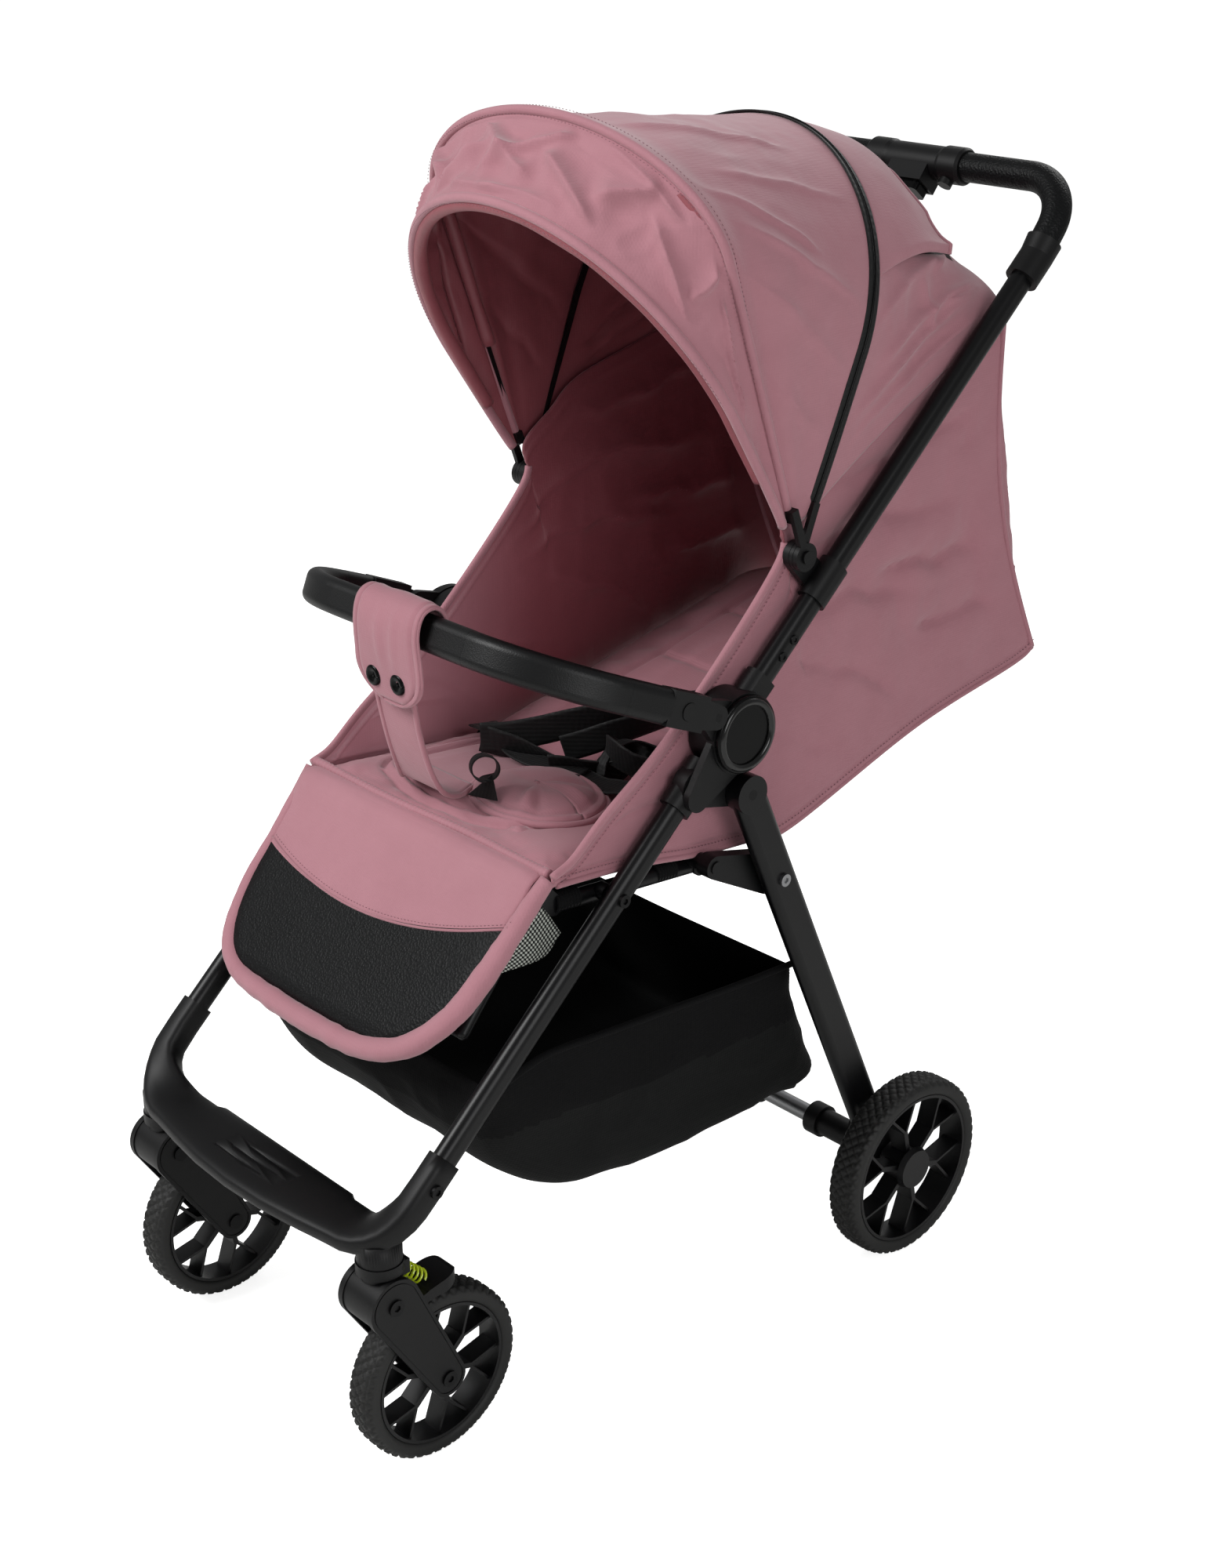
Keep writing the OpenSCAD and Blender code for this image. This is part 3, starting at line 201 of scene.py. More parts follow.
# The axle: pale and bright, but brushed by its plating
zinc_steel = hard_black("zinc_plated_steel", "#8d8e90", "#a5a6a8", 0.34, 1.5, 0.02, metal=1.0)
# Foam rubber, the dullest of all
eva_foam = hard_black("eva_foam_tyre", "#090909", "#11110f", 0.62, 1.1, 0.15, patch_mm=25)
print("materials so far:", len(bpy.data.materials))

# %% [markdown]
# ### Coloured and polished pieces
# Spring wire is lacquered yellow-green against rust, and lacquer runs smooth, so it shines more
# than the moulding round it. The red button is moulded ABS. The bead round each hub cap is
# polished, so it catches the lamps in two short arcs. These pieces are too small for a grain to
# show, so each is a drifting colour on a smooth shader.

# %% Coloured and polished materials
lacquer, tree, shader, place = start("lacquered_spring_steel", 0.3, Coat_Weight=0.4)
mottled(tree, place, "#b9cf1e", "#cfe02f", 8, shader)
red_abs, tree, shader, place = start("red_abs", 0.3)
mottled(tree, place, "#6e1420", "#7c1826", 12, shader)
bead_polish, tree, shader, place = start("polished_bead", 0.16, Specular_IOR_Level=0.5)
mottled(tree, place, "#020202", "#050505", 20, shader)
print("materials so far:", len(bpy.data.materials))

# %% [markdown]
# ### Woven cloth
# The pink cloth is a plain-woven polyester: warp and weft cross at right angles, each thread
# about 0.3 mm. That is too fine to show at this distance, so the weave is drawn at 1.1 mm. A flat
# pattern would need the cloth laid out flat, so three sets of waves, one to each axis, make the
# threads wherever the cloth faces. Threads scatter light at a low angle, which the sheen gives.


# %% Woven materials
CRINKLE_MM, CRINKLE_DEPTH_MM = 22.0, 1.4


def woven(name, low, high, thread_mm, depth_mm, rough=0.8, sheen=0.25, **sockets):
    """A woven cloth from its two colours and its threads' width and height."""
    sheen_sockets = {"Sheen_Weight": sheen, "Sheen_Roughness": 0.5}
    material, tree, shader, place = start(name, rough, **sheen_sockets, **sockets)
    mottled(tree, place, low, high, 45, shader)
    drawn = {"Scale": 1000 / thread_mm / 6.283, "Distortion": 0.6, "Detail": 1.0, "Detail Scale": 2.0}
    total = 0.0
    for axis in "XYZ":
        wave = add(tree, "TexWave", {"Vector": place, **drawn}, bands_direction=axis).outputs["Fac"]
        total = add(tree, "Math", {0: total, 1: wave}, operation="ADD").outputs[0]
    crinkle = add(tree, "TexNoise", {"Vector": place, "Scale": 1000 / CRINKLE_MM, "Detail": 4.0})
    soft_height = {"Height": crinkle.outputs["Fac"], "Distance": CRINKLE_DEPTH_MM / 1000}
    soft = add(tree, "Bump", {**soft_height, "Strength": 0.6}).outputs["Normal"]
    height = {"Height": total, "Distance": depth_mm / 1000, "Strength": 0.5, "Normal": soft}
    plug(tree, shader, {"Normal": add(tree, "Bump", height).outputs["Normal"]})
    return material


# Dusty pink outer cloth, and the same cloth where it hangs in the hood's shade
polyester = woven("woven_polyester", "#a26d77", "#ae7983", 1.1, 0.09)
polyester_dark = woven("woven_polyester_shaded", "#9c6771", "#a7727c", 1.1, 0.09)
# The lining is coated behind, so it is darker, smoother and hardly has any sheen
lining = woven("coated_lining", "#85434b", "#924f57", 1.4, 0.05, rough=0.5, sheen=0.05)
# Inside the walls: the pink cloth darkened as a painted shade, for the shade the hood casts there
wall_inside_painted_shade = woven("wall_inside_painted_shade", "#804049", "#8c4a53", 1.4, 0.05, rough=0.5, sheen=0.1)
# Black cloth swallows light, and nylon webbing shows a coarse rib
black_cloth = woven(
    "black_polyester", "#050506", "#0a0a0b", 1.3, 0.14, rough=0.85, sheen=0.0, Specular_IOR_Level=0.15
)
webbing = woven(
    "nylon_webbing", "#060607", "#0c0c0d", 2.2, 0.25, rough=0.6, sheen=0.05, Specular_IOR_Level=0.35
)
# Thread is a shade darker than the cloth it sews, so that the rows show
thread = woven("sewing_thread", "#764a54", "#835660", 0.8, 0.1)
print("materials so far:", len(bpy.data.materials))

# %% [markdown]
# The walls' inside has a painted shade, dark at the back under the hood, fading to pale pink
# by the seat's front. Two materials would meet at a hard line, so one material fades along the stroller.

# %% Fading painted shade
# The painted shade is full from 440 mm back and gone by 215 mm, where a pale pink shows instead
PAINTED_SHADE_ENDS, PAINTED_SHADE_FULL = in_frame((0, 215, 0))[1], in_frame((0, 440, 0))[1]
tree = wall_inside_painted_shade.node_tree
shader = tree.nodes["Principled BSDF"]
shaded_colour = shader.inputs["Base Color"].links[0].from_socket
place = add(tree, "TexCoord").outputs["Object"]
ahead = add(tree, "SeparateXYZ", {"Vector": place}).outputs["Y"]
span = {"Value": ahead, "From Min": PAINTED_SHADE_ENDS, "From Max": PAINTED_SHADE_FULL}
shade_share = add(tree, "MapRange", span, interpolation_type="SMOOTHSTEP").outputs["Result"]
shade_blend = add(tree, "Mix", {0: shade_share, 6: linear("#c58f9a"), 7: shaded_colour}, data_type="RGBA")
plug(tree, shader, {"Base Color": shade_blend.outputs[2]})
print("materials so far:", len(bpy.data.materials))

# %% [markdown]
# ### Leatherette
# Leatherette is PVC on cloth, rolled with a pebble. The pebbles' tops are smooth and catch the
# light, and the valleys between them stay dull. Noise has no edges between its hills, so the
# pebbles come from a smooth Voronoi pattern. The leg rest's real pebble of about 1.3 mm is drawn
# at 2 mm so that it shows. The bumper wears a finer grain, 1.1 mm and shallow, and the foam under
# it pulls it smooth, so it looks satin.


# %% Leatherettes
def pebbled(name, low, high, rough, pebble_mm, depth_mm, strength, shine):
    """A leatherette from its two colours, its roughness and its pebbles' size and depth."""
    material, tree, shader, place = start(name, rough, Specular_IOR_Level=shine)
    pebbles = {"Vector": place, "Scale": 1000 / pebble_mm}
    cells = add(tree, "TexVoronoi", pebbles, feature="SMOOTH_F1").outputs["Distance"]
    mottled(tree, place, low, high, 30, shader)
    hills = add(tree, "Math", {0: 1.0, 1: cells}, operation="SUBTRACT").outputs[0]
    relief = add(tree, "Bump", {"Height": hills, "Distance": depth_mm / 1000, "Strength": strength})
    plug(tree, shader, {"Normal": relief.outputs["Normal"]})
    return material, tree, shader, cells


leatherette, tree, shader, cells = pebbled(
    "pebbled_leatherette", "#040506", "#0b0c0d", 0.52, 2.0, 0.7, 0.8, 0.16
)
polish = add(tree, "MapRange", {"Value": cells, "To Min": 0.36, "To Max": 0.66})
plug(tree, shader, {"Roughness": polish.outputs["Result"]})
fine_leather = pebbled("fine_leatherette", "#030304", "#08090a", 0.42, 1.1, 0.2, 0.6, 0.3)[0]
print("materials so far:", len(bpy.data.materials))

# %% [markdown]
# ### Nets
# Net is knitted with open holes, so what is behind it shows through. Real holes would take a
# million faces, so alpha cuts them instead, on a 3 mm grid in the sheet's own flat coordinates.
# The gusset's net is black too, but a pale cloth backs it, so a pale dot shows in each mesh. The
# basket's net is knitted so close that it looks like black cloth with a pebble of small diamonds,
# and is drawn as relief: 3 mm meshes, with the yarn standing up round each.


# %% Nets
def meshes_of(tree, pitch_mm):
    """Two waves across a sheet's flat coordinates, which cross once in each mesh."""
    flat = add(tree, "TexCoord").outputs["UV"]
    parts = add(tree, "SeparateXYZ", {"Vector": flat})
    waves = []
    for axis in (0, 1):
        turns = {0: parts.outputs[axis], 1: 6.2832 * 1000 / pitch_mm}
        run = add(tree, "Math", turns, operation="MULTIPLY")
        waves.append(add(tree, "Math", {0: run.outputs[0]}, operation="COSINE").outputs[0])
    return waves


hood_net, tree, shader, place = start("hood_net", 0.7)
mottled(tree, place, "#1a1112", "#241718", 20, shader)
one, two = meshes_of(tree, 3.0)
both = add(tree, "Math", {0: one, 1: two}, operation="MULTIPLY").outputs[0]
yarn = add(tree, "Math", {0: both, 1: 0.25}, operation="LESS_THAN").outputs[0]
plug(tree, shader, {"Alpha": yarn})

pale_net, tree, shader, place = start("backed_gusset_net", 0.75, Specular_IOR_Level=0.25)
one, two = meshes_of(tree, 3.6)
both = add(tree, "Math", {0: one, 1: two}).outputs[0]
dots = add(tree, "MapRange", {"Value": both, "From Min": -0.1, "From Max": 0.7}).outputs["Result"]
shade = add(tree, "Mix", {0: dots, 6: linear("#141414"), 7: linear("#b4b8b0")}, data_type="RGBA")
plug(tree, shader, {"Base Color": shade.outputs[2]})

knit, tree, shader, place = start("close_knit_net", 0.8, Specular_IOR_Level=0.2)
mottled(tree, place, "#030404", "#090a0a", 25, shader)
meshes = add(tree, "TexVoronoi", {"Vector": place, "Scale": 1000 / 3.0, "Randomness": 0.1})
height = {"Height": meshes.outputs["Distance"], "Distance": 0.0005, "Strength": 0.7}
plug(tree, shader, {"Normal": add(tree, "Bump", height).outputs["Normal"]})
print("made", len(bpy.data.materials), "materials")

# %% [markdown]
# ## Dressing the CAD pieces
# A CAD piece whose shape is right keeps it. It only needs the finish of its real material, so a
# table says which nodes wear which.

# %% Finishes for the CAD nodes
WEARS = {
    powder_coat: "front_leg_left front_leg_right handle_tube_left handle_tube_right rear_leg_left"
    " rear_leg_right seat_frame legrest_frame handlebar",
    moulded_nylon: "front_crossbar hub_housings handle_hubs handle_sleeves fold_housing hood_brackets"
    " axle_brackets brake_pedal caster_post_left caster_post_right caster_arms_left caster_arms_right"
    " seat_links bumper_ends hood_rear_bow hood_main_bow harness_buckle bumper_button_left"
    " bumper_button_right",
    gloss_abs: "hub_caps fold_trigger",
    zinc_steel: "rear_axle",
    blackened_steel: "hub_pins frame_screws tube_rivets caster_bolts_left caster_bolts_right",
    wheel_pp: "rear_rim_left rear_rim_right front_rim_left front_rim_right",
    lacquer: "caster_spring_left caster_spring_right",
    leatherette: "handle_grips",
    fine_leather: "bumper_bar",
    red_abs: "buckle_button",
}
for material, names in WEARS.items():
    for name in names.split():
        node = frame["nodes"][name]
        node.data.materials.clear()
        node.data.materials.append(material)
print("finished", sum(len(names.split()) for names in WEARS.values()), "CAD nodes")

# %% [markdown]
# ## Cloth helpers
# Real cloth folds by chance. A cloth simulation of each panel would be slow, and its folds would
# move with each small change. Here folds come from a smooth noise with a fixed seed, so each run
# gives the same cloth, and the sharp folds that catch the eye are listed one by one.


# %% Noise for folds
def hills_and_hollows(points, size, seed):
    """Smooth noise from -1 to 1 over the points, one hill or hollow to each size in mm."""
    lattice = np.random.default_rng(seed).uniform(-1, 1, (24, 24, 24))
    spot = np.asarray(points, float) / size + 500
    cell = np.floor(spot).astype(int)
    part = spot - cell
    part = part * part * (3 - 2 * part)
    total = np.zeros(spot.shape[:-1])
    for corner in np.ndindex(2, 2, 2):
        weight = np.prod([part[..., k] if corner[k] else 1 - part[..., k] for k in range(3)], axis=0)
        index = (cell + corner) % 24
        total += weight * lattice[index[..., 0], index[..., 1], index[..., 2]]
    return total


def creases(points, size, seed):
    """Noise with sharp ridges, as crumpled cloth has: 0 in the hollows, 1 on the ridges."""
    return 1 - np.abs(hills_and_hollows(points, size, seed)) * 2


def folded(rows, lines, mirror=True):
    """Heights in mm of sharp folds. Each line gives two places, as fractions along and down the sheet,
    then the fold's height and half width in mm. One flank of a fold is steeper than the other."""
    m, n, _ = rows.shape
    wide = np.linalg.norm(np.diff(rows[m // 2], axis=0), axis=1).sum()
    deep = np.linalg.norm(np.diff(rows[:, n // 2], axis=0), axis=1).sum()
    u = np.linspace(0, wide, n)[None]
    v = np.linspace(0, deep, m)[:, None]
    total = np.zeros((m, n))
    for s0, t0, s1, t1, height, width in lines:
        for flip in ((False, True) if mirror else (False,)):
            a = np.array([(1 - s0 if flip else s0) * wide, t0 * deep])
            b = np.array([(1 - s1 if flip else s1) * wide, t1 * deep])
            run = b - a
            length = np.linalg.norm(run)
            run = run / length
            wave = 5.0 * hills_and_hollows(rows, 30, 7)
            along = ((u - a[0]) * run[0] + (v - a[1]) * run[1]) / length
            off = (u - a[0]) * run[1] - (v - a[1]) * run[0] + wave
            off = np.where(off > 0, off, -1.9 * off) / (width * (0.45 + 0.55 * np.clip(along, 0, 1)))
            ends = np.clip(along * 5, 0, 1) * np.clip((1.0 - along) * 3.5, 0, 1)
            total += height * np.exp(-np.maximum(off, 0) ** 1.25) * ends * ends * (3 - 2 * ends)
    return total


# %% [markdown]
# Every sewn piece starts as points and faces in millimetres. One function makes the mesh with
# its materials, and lets it ride on a body.


def new_piece(name, points, faces, materials, on, face_material=None, uv=None):
    """A mesh piece from points in mm. It rides on a body; given a span of two bodies, it is left in
    place.
    """
    mesh = bpy.data.meshes.new(name)
    places = [tuple(p) for p in in_frame(points)]
    mesh.from_pydata(places, [], [tuple(int(i) for i in face) for face in faces])
    for material in materials:
        mesh.materials.append(material)
    if face_material is not None:
        mesh.polygons.foreach_set("material_index", np.asarray(face_material, np.int32))
    if uv is not None:
        layer = mesh.uv_layers.new(name="flat")
        loops = np.zeros(len(mesh.loops), np.int32)
        mesh.loops.foreach_get("vertex_index", loops)
        layer.data.foreach_set("uv", np.asarray(uv)[loops].ravel())
    mesh.shade_smooth()
    mesh.update()
    obj = bpy.data.objects.new(name, mesh)
    scene.collection.objects.link(obj)
    if isinstance(on, str):
        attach(obj, on)
    elif on:
        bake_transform(obj)
    return obj


# %% [markdown]
# A sheet with one layer would have no edge to catch the light, and no inside to take the lining's
# colour. So each sheet has two faces and a rim, and keeps the flat layout it was cut to.


# %% Sheets
def unit(vectors):
    """The vectors, each made 1 long."""
    return vectors / (np.linalg.norm(vectors, axis=-1, keepdims=True) + 1e-9)


def normals_of(rows):
    """Unit normals of a grid of points."""
    return unit(np.cross(np.gradient(rows, axis=1), np.gradient(rows, axis=0)))


def raised(rows, height):
    """The rows, moved off their own surface by a height in mm at each point."""
    return rows + normals_of(rows) * height[..., None]


def two_faced(name, rows, outside, inside, on, thick=1.2, pick=None):
    """A closed sheet of cloth: the rows are its outside, and the inside lies a thickness behind.
    Where outside is a list, pick gives the material of each of its faces."""
    m, n, _ = rows.shape
    behind = rows - normals_of(rows) * thick
    points = np.concatenate([rows.reshape(-1, 3), behind.reshape(-1, 3)])
    step = m * n
    index = np.arange(step).reshape(m, n)
    quads = np.stack([index[:-1, :-1], index[:-1, 1:], index[1:, 1:], index[1:, :-1]], -1).reshape(-1, 4)
    edge = np.concatenate([index[0, :], index[1:, -1], index[-1, -2::-1], index[-2:0:-1, 0]])
    after = np.roll(edge, -1)
    rim = np.stack([after, edge, edge + step, after + step], -1)
    faces = np.concatenate([quads, quads[:, ::-1] + step, rim])
    chosen = np.zeros(len(quads), int) if pick is None else pick.reshape(-1)
    slots = np.concatenate([chosen, np.where(chosen == 0, 1, chosen), np.zeros(len(rim), int)])
    gaps_u = np.linalg.norm(np.diff(rows, axis=1), axis=2)
    gaps_v = np.linalg.norm(np.diff(rows, axis=0), axis=2)
    u = np.concatenate([np.zeros((m, 1)), np.cumsum(gaps_u, 1)], 1)
    v = np.concatenate([np.zeros((1, n)), np.cumsum(gaps_v, 0)], 0)
    uv = np.stack([u, v], -1).reshape(-1, 2) / 1000
    outsides = outside if isinstance(outside, list) else [outside]
    materials = [outsides[0], inside, *outsides[1:]]
    return new_piece(name, points, faces, materials, on, slots, np.concatenate([uv, uv]))


def cut(rows):
    """The flat piece a sheet was cut from: its width, length and area in metres."""
    u = np.linalg.norm(np.diff(rows, axis=1), axis=2).sum(1)
    v = np.linalg.norm(np.diff(rows, axis=0), axis=2).sum(0)
    crossed = np.cross(rows[1:, 1:] - rows[:-1, :-1], rows[1:, :-1] - rows[:-1, 1:])
    area = np.linalg.norm(crossed, axis=2).sum() / 2e6
    width, length = u.max() / 1000, v.max() / 1000
    area = round(min(area, 0.99 * width * length), 6)
    return {"flat": (round(width, 4), round(length, 4)), "area": area}


# %% [markdown]
# Piping is cloth sewn round a cord. A curve object with a round profile would give the same tube,
# but its radius could only change point by point by hand. A mesh swept along the path takes
# any radius, such as a gathered one, and its frame turns as little as it can, so it never twists.


# %% Paths and piping
def smooth_path(points, count):
    """A smooth curve through the points, as count evenly spaced points."""
    points = np.asarray(points, float)
    ends = 2 * points[:1] - points[1:2], 2 * points[-1:] - points[-2:-1]
    knots = np.concatenate([ends[0], points, ends[1]])
    t = np.linspace(0, 1, 24, endpoint=False)[:, None]
    runs = []
    for i in range(1, len(knots) - 2):
        p0, p1, p2, p3 = knots[i - 1 : i + 3]
        square, cube = 2 * p0 - 5 * p1 + 4 * p2 - p3, 3 * p1 - p0 - 3 * p2 + p3
        runs.append(0.5 * (2 * p1 + (p2 - p0) * t + square * t**2 + cube * t**3))
    fine = np.concatenate(runs + [points[-1:]])
    length = np.concatenate([[0], np.cumsum(np.linalg.norm(np.diff(fine, axis=0), axis=1))])
    spots = np.linspace(0, length[-1], count)
    return np.stack([np.interp(spots, length, fine[:, k]) for k in range(fine.shape[1])], -1)


def frames_along(path, closed=False):
    """A path's direction, and two directions square to it that turn as little as they can."""
    if closed:
        tangent = unit(np.roll(path, -1, 0) - np.roll(path, 1, 0))
    else:
        tangent = unit(np.gradient(path, axis=0))
    side = np.cross(tangent[0], (0, 0, 1) if abs(tangent[0][2]) < 0.9 else (1, 0, 0))
    sides = []
    for t in tangent:
        side = side - t * np.dot(side, t)
        side = side / np.linalg.norm(side)
        sides.append(side)
    return tangent, np.array(sides), np.cross(tangent, np.array(sides))


def cord_mesh(name, path, radius, material, on, sides=10, closed=False, squash=1.0):
    """A round cord swept along a path, with one radius or one for each point."""
    path = np.asarray(path, float)
    _, one, two = frames_along(path, closed)
    turn = np.linspace(0, 2 * math.pi, sides, endpoint=False)[None, :, None]
    radius = np.broadcast_to(np.asarray(radius, float), (len(path),))[:, None, None]
    ring = one[:, None] * np.cos(turn) + two[:, None] * np.sin(turn) * squash
    points = path[:, None] + radius * ring
    index = np.arange(len(path) * sides).reshape(-1, sides)
    onward, beside = np.roll(index, -1, 0), np.roll(index, -1, 1)
    quads = np.stack([index, beside, np.roll(onward, -1, 1), onward], -1)
    faces = list((quads if closed else quads[:-1]).reshape(-1, 4))
    if not closed:
        faces += [index[0, ::-1], index[-1]]
    return new_piece(name, points.reshape(-1, 3), faces, [material], on)


# %% [markdown]
# A seam shows as a row of stitches. A bump in the material would vanish from the side, so each
# stitch is a small pointed bead of thread, set along the path at the sewing machine's pitch.


# %% Stitches
STITCH = 2.8


def stitches(name, path, on, pitch=4.2, radius=0.45):
    """A row of stitches: one small pointed bead to each pitch along the path."""
    path = np.asarray(path, float)
    total = np.linalg.norm(np.diff(path, axis=0), axis=1).sum()
    spots = smooth_path(path, max(4, int(total / pitch)))
    points, faces = [], []
    for p, t, s, u in zip(spots, *frames_along(spots)):
        base = len(points)
        points += [p - t * STITCH / 2, p + t * STITCH / 2]
        points += [p + s * radius, p + u * radius, p - s * radius, p - u * radius]
        for j in range(4):
            k = (j + 1) % 4
            faces += [(base, base + 2 + k, base + 2 + j), (base + 1, base + 2 + j, base + 2 + k)]
    return new_piece(name, points, faces, [thread], on)


def mixed(a, b, t):
    """a at t = 0, b at t = 1, and in proportion between."""
    return a * (1 - t) + b * t


def bump_at(x, middle, width):
    """1 at the middle, falling smoothly to 0 a width away."""
    return np.exp(-(((x - middle) / width) ** 2))

# %% [markdown]
# ## The hood
# The cloth hangs on two bows that turn about one pin on each tube, and on the tail seam that
# joins it to the back. A bow is a straight side that leans outwards and an arch over the top.
# The same curve carries the cloth, its piping and its stitches, so that they lie on each other.

# %% Hood curves
HINGE = joint_at("hood_fold")
SIDE_X = 171.5
BOW_X = 184.0
BOW_FOOT_X = BOW_X - 4
BOW_FOOT_R = 36.0
ARCH_STEPS, SIDE_STEPS = 30, 4
REACH = 393.0
# Each bow: its angle, the length of its straight side, its reach over the top and its half width
MAIN_BOW = (110.0, 285.0, REACH, BOW_X)
ZIP_BOW = (68.5, 185.0, REACH - 23, BOW_X)
VISOR_BOW = (123.0, 165.0, REACH - 29, BOW_X + 1)
HOOD_END = np.array([701.574, 906.54])
HOOD_FOOT = np.array([779.184, 567.929])
HOOD_END_X = SIDE_X - 2.7
HOOD_CROWN = 58.0
LIFT = 3.2
TAIL_LIFT = 2.4
ALONG_BOW = 241
ROWS = 61


def bow(shape, lift, turned=0.0):
    """Points over a bow, from its left foot to its right foot."""
    angle, straight, reach, half = shape
    reach, half = reach + lift, half + lift
    i = np.linspace(0, ARCH_STEPS, ALONG_BOW)
    k = np.clip(np.minimum(i, ARCH_STEPS - i) / SIDE_STEPS, 0, 1)
    arch = np.radians(180 * (i - SIDE_STEPS) / (ARCH_STEPS - 2 * SIDE_STEPS))
    on_side = k < 1
    side_x = np.sign(ARCH_STEPS / 2 - i) * mixed(BOW_FOOT_X, half, np.sqrt(k))
    x = np.where(on_side, side_x, half * np.cos(arch))
    top_r = straight + (reach - straight) * np.sin(arch)
    r = np.where(on_side, mixed(BOW_FOOT_R, straight, k), top_r)
    tilt = math.radians(angle + turned)
    return np.stack([x, HINGE[0] + r * math.cos(tilt), HINGE[1] + r * math.sin(tilt)], -1)


def tail(lift):
    """The seam that ends the hood, an arch as wide as the seat."""
    arch = np.linspace(0, math.pi, ALONG_BOW)
    x = (HOOD_END_X + lift) * np.cos(arch)
    z = HOOD_END[1] + (HOOD_CROWN + lift) * np.sin(arch)
    return np.stack([x, np.full(ALONG_BOW, HOOD_END[0] + lift * 0.4), z], -1)


def crown(curve):
    """The top of a bow or of the tail, in the shared frame."""
    return in_frame(curve[len(curve) // 2])


REAR_SPAN = "hood_rear", "handle_frame", crown(bow(ZIP_BOW, 0)), crown(tail(0))
print("hood from", crown(tail(0)), "to", crown(bow(VISOR_BOW, 0)))

# %% [markdown]
# A panel of cloth starts as rows between two curves. Its folds die out at its seams, where the
# sewing holds it flat.


# %% Rows of cloth
def between(first, last, rows, swell=(0, 0, 0)):
    """Rows of cloth from one curve to another, with a swell in the middle."""
    t = np.linspace(0, 1, rows)[:, None, None]
    return mixed(first[None], last[None], t) + np.array(swell, float) * np.sin(math.pi * t)


def outward(rows, centre=(0, 430, 700)):
    """The rows, turned round if their faces look in at the seat."""
    looks_in = np.sum(normals_of(rows) * (rows - np.array(centre, float))) < 0
    return rows[:, ::-1] if looks_in else rows


def edges_fade(rows, seams=1.0):
    """1 in the open cloth and 0 on its seams, so folds die out where it is sewn."""
    m, n, _ = rows.shape
    across = np.sin(math.pi * np.linspace(0, 1, m)) ** 0.95
    along = np.clip(np.minimum(np.arange(n), n - 1 - np.arange(n)) / (n * 0.06), 0, 1)
    return across[:, None] ** seams * along[None, :]


# Places along and down a panel, from 0 to 1
s = np.linspace(0, 1, ALONG_BOW)[None]
t = np.linspace(0, 1, ROWS)[:, None]


# %% [markdown]
# The top panel is stretched between the bows and sags a little. Cloth under tension shows long
# shallow folds that run from bow to bow, so its noise is stretched that way.

# %% Hood top panel
rows = outward(between(bow(ZIP_BOW, LIFT), bow(MAIN_BOW, LIFT), ROWS, (0, 0, -5)))
fade = edges_fade(rows)
long_way = rows * (1.0, 0.35, 0.6)
depth = 4.0 * hills_and_hollows(long_way, 70, 3) + 1.6 * creases(rows * (0.8, 1, 1), 60, 4) - 1.0
depth += 0.7 * creases(rows, 24, 5)
depth += folded(rows, [
    (0.11, 0.02, 0.14, 0.98, 4.5, 12), (0.17, 0.0, 0.24, 0.9, 5.5, 13), (0.22, 0.3, 0.3, 0.98, 4.5, 11),
    (0.3, 0.05, 0.33, 0.8, 4.0, 12), (0.38, 0.2, 0.45, 0.95, 4.5, 14), (0.06, 0.1, 0.085, 0.9, 3.0, 8),
])
depth -= 6.0 * bump_at(t, 0.86, 0.08) - 1.5 * bump_at(t, 0.62, 0.1)
rows = raised(rows, depth * fade)
span = "hood_rear", "hood_main", crown(bow(ZIP_BOW, 0)), crown(bow(MAIN_BOW, 0))
top_panel = two_faced("hood_top_cloth", rows, polyester, lining, span)
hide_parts("hood_top_panel")
print("top panel", cut(rows))

# %% [markdown]
# The visor flips out on its own light wire and is never tight. Its cloth crumples: sharp ridges
# meet at points, deepest near the near edge where the wire pulls it. Noise alone gives ridges of
# one kind everywhere, so the main folds are listed one by one over finer noise.

# %% Visor
rows = outward(between(bow(MAIN_BOW, LIFT - 1.5), bow(VISOR_BOW, LIFT), ROWS))
fade = edges_fade(rows, 0.8)
crumple = 6.0 * creases(rows * (1, 1, 0.8), 80, 11)
crumple += 3.6 * creases(rows, 40, 12) + 1.4 * creases(rows, 19, 13)
depth = (crumple - 9.0) * (0.5 + 0.5 * bump_at(s, 0.5, 0.3))
depth += folded(rows, [
    (0.42, 0.1, 0.55, 0.72, 14, 15), (0.36, 0.85, 0.47, 0.35, 12, 12), (0.3, 0.12, 0.38, 0.62, 13, 13),
    (0.22, 0.9, 0.31, 0.3, 10, 11), (0.17, 0.15, 0.24, 0.75, 10, 11), (0.1, 0.85, 0.17, 0.3, 8, 9),
    (0.47, 0.9, 0.6, 0.8, 9, 10), (0.25, 0.2, 0.42, 0.1, 10, 10),
])
# Near its seams the cloth can't sink into the tunnels sewn behind it
depth = np.maximum(depth, mixed(-0.3, -7.0, fade**2))
rows = raised(rows, depth * fade)
span = "hood_main", "hood_visor", crown(bow(MAIN_BOW, 0)), crown(bow(VISOR_BOW, 0))
visor = two_faced("visor_cloth", rows, polyester, lining, span)
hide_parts("visor")
print("visor", cut(rows))

# %% [markdown]
# Both front edges are bound over a cord, which makes a round lip with a row of stitches on each
# side. The stitches follow the bow's own curve, turned a little further or less far.


# %% Bound edges
def edge_lip(name, shape, radius, body, turned, lift=LIFT):
    """A bound edge over a bow, with its two rows of stitches."""
    cord_mesh(name, bow(shape, lift + 0.4, turned=turned), radius, polyester, body, 12)
    for letter, side in (("a", -1.3), ("b", 1.3)):
        stitches(f"{name}_stitch{letter}", bow(shape, lift + 0.7, turned=turned + side), body)


edge_lip("visor_lip", VISOR_BOW, 4.4, "hood_visor", 0.2)
edge_lip("main_bow_lip", MAIN_BOW, 4.2, "hood_main", 0.0, LIFT - 0.4)
print("bound two edges")

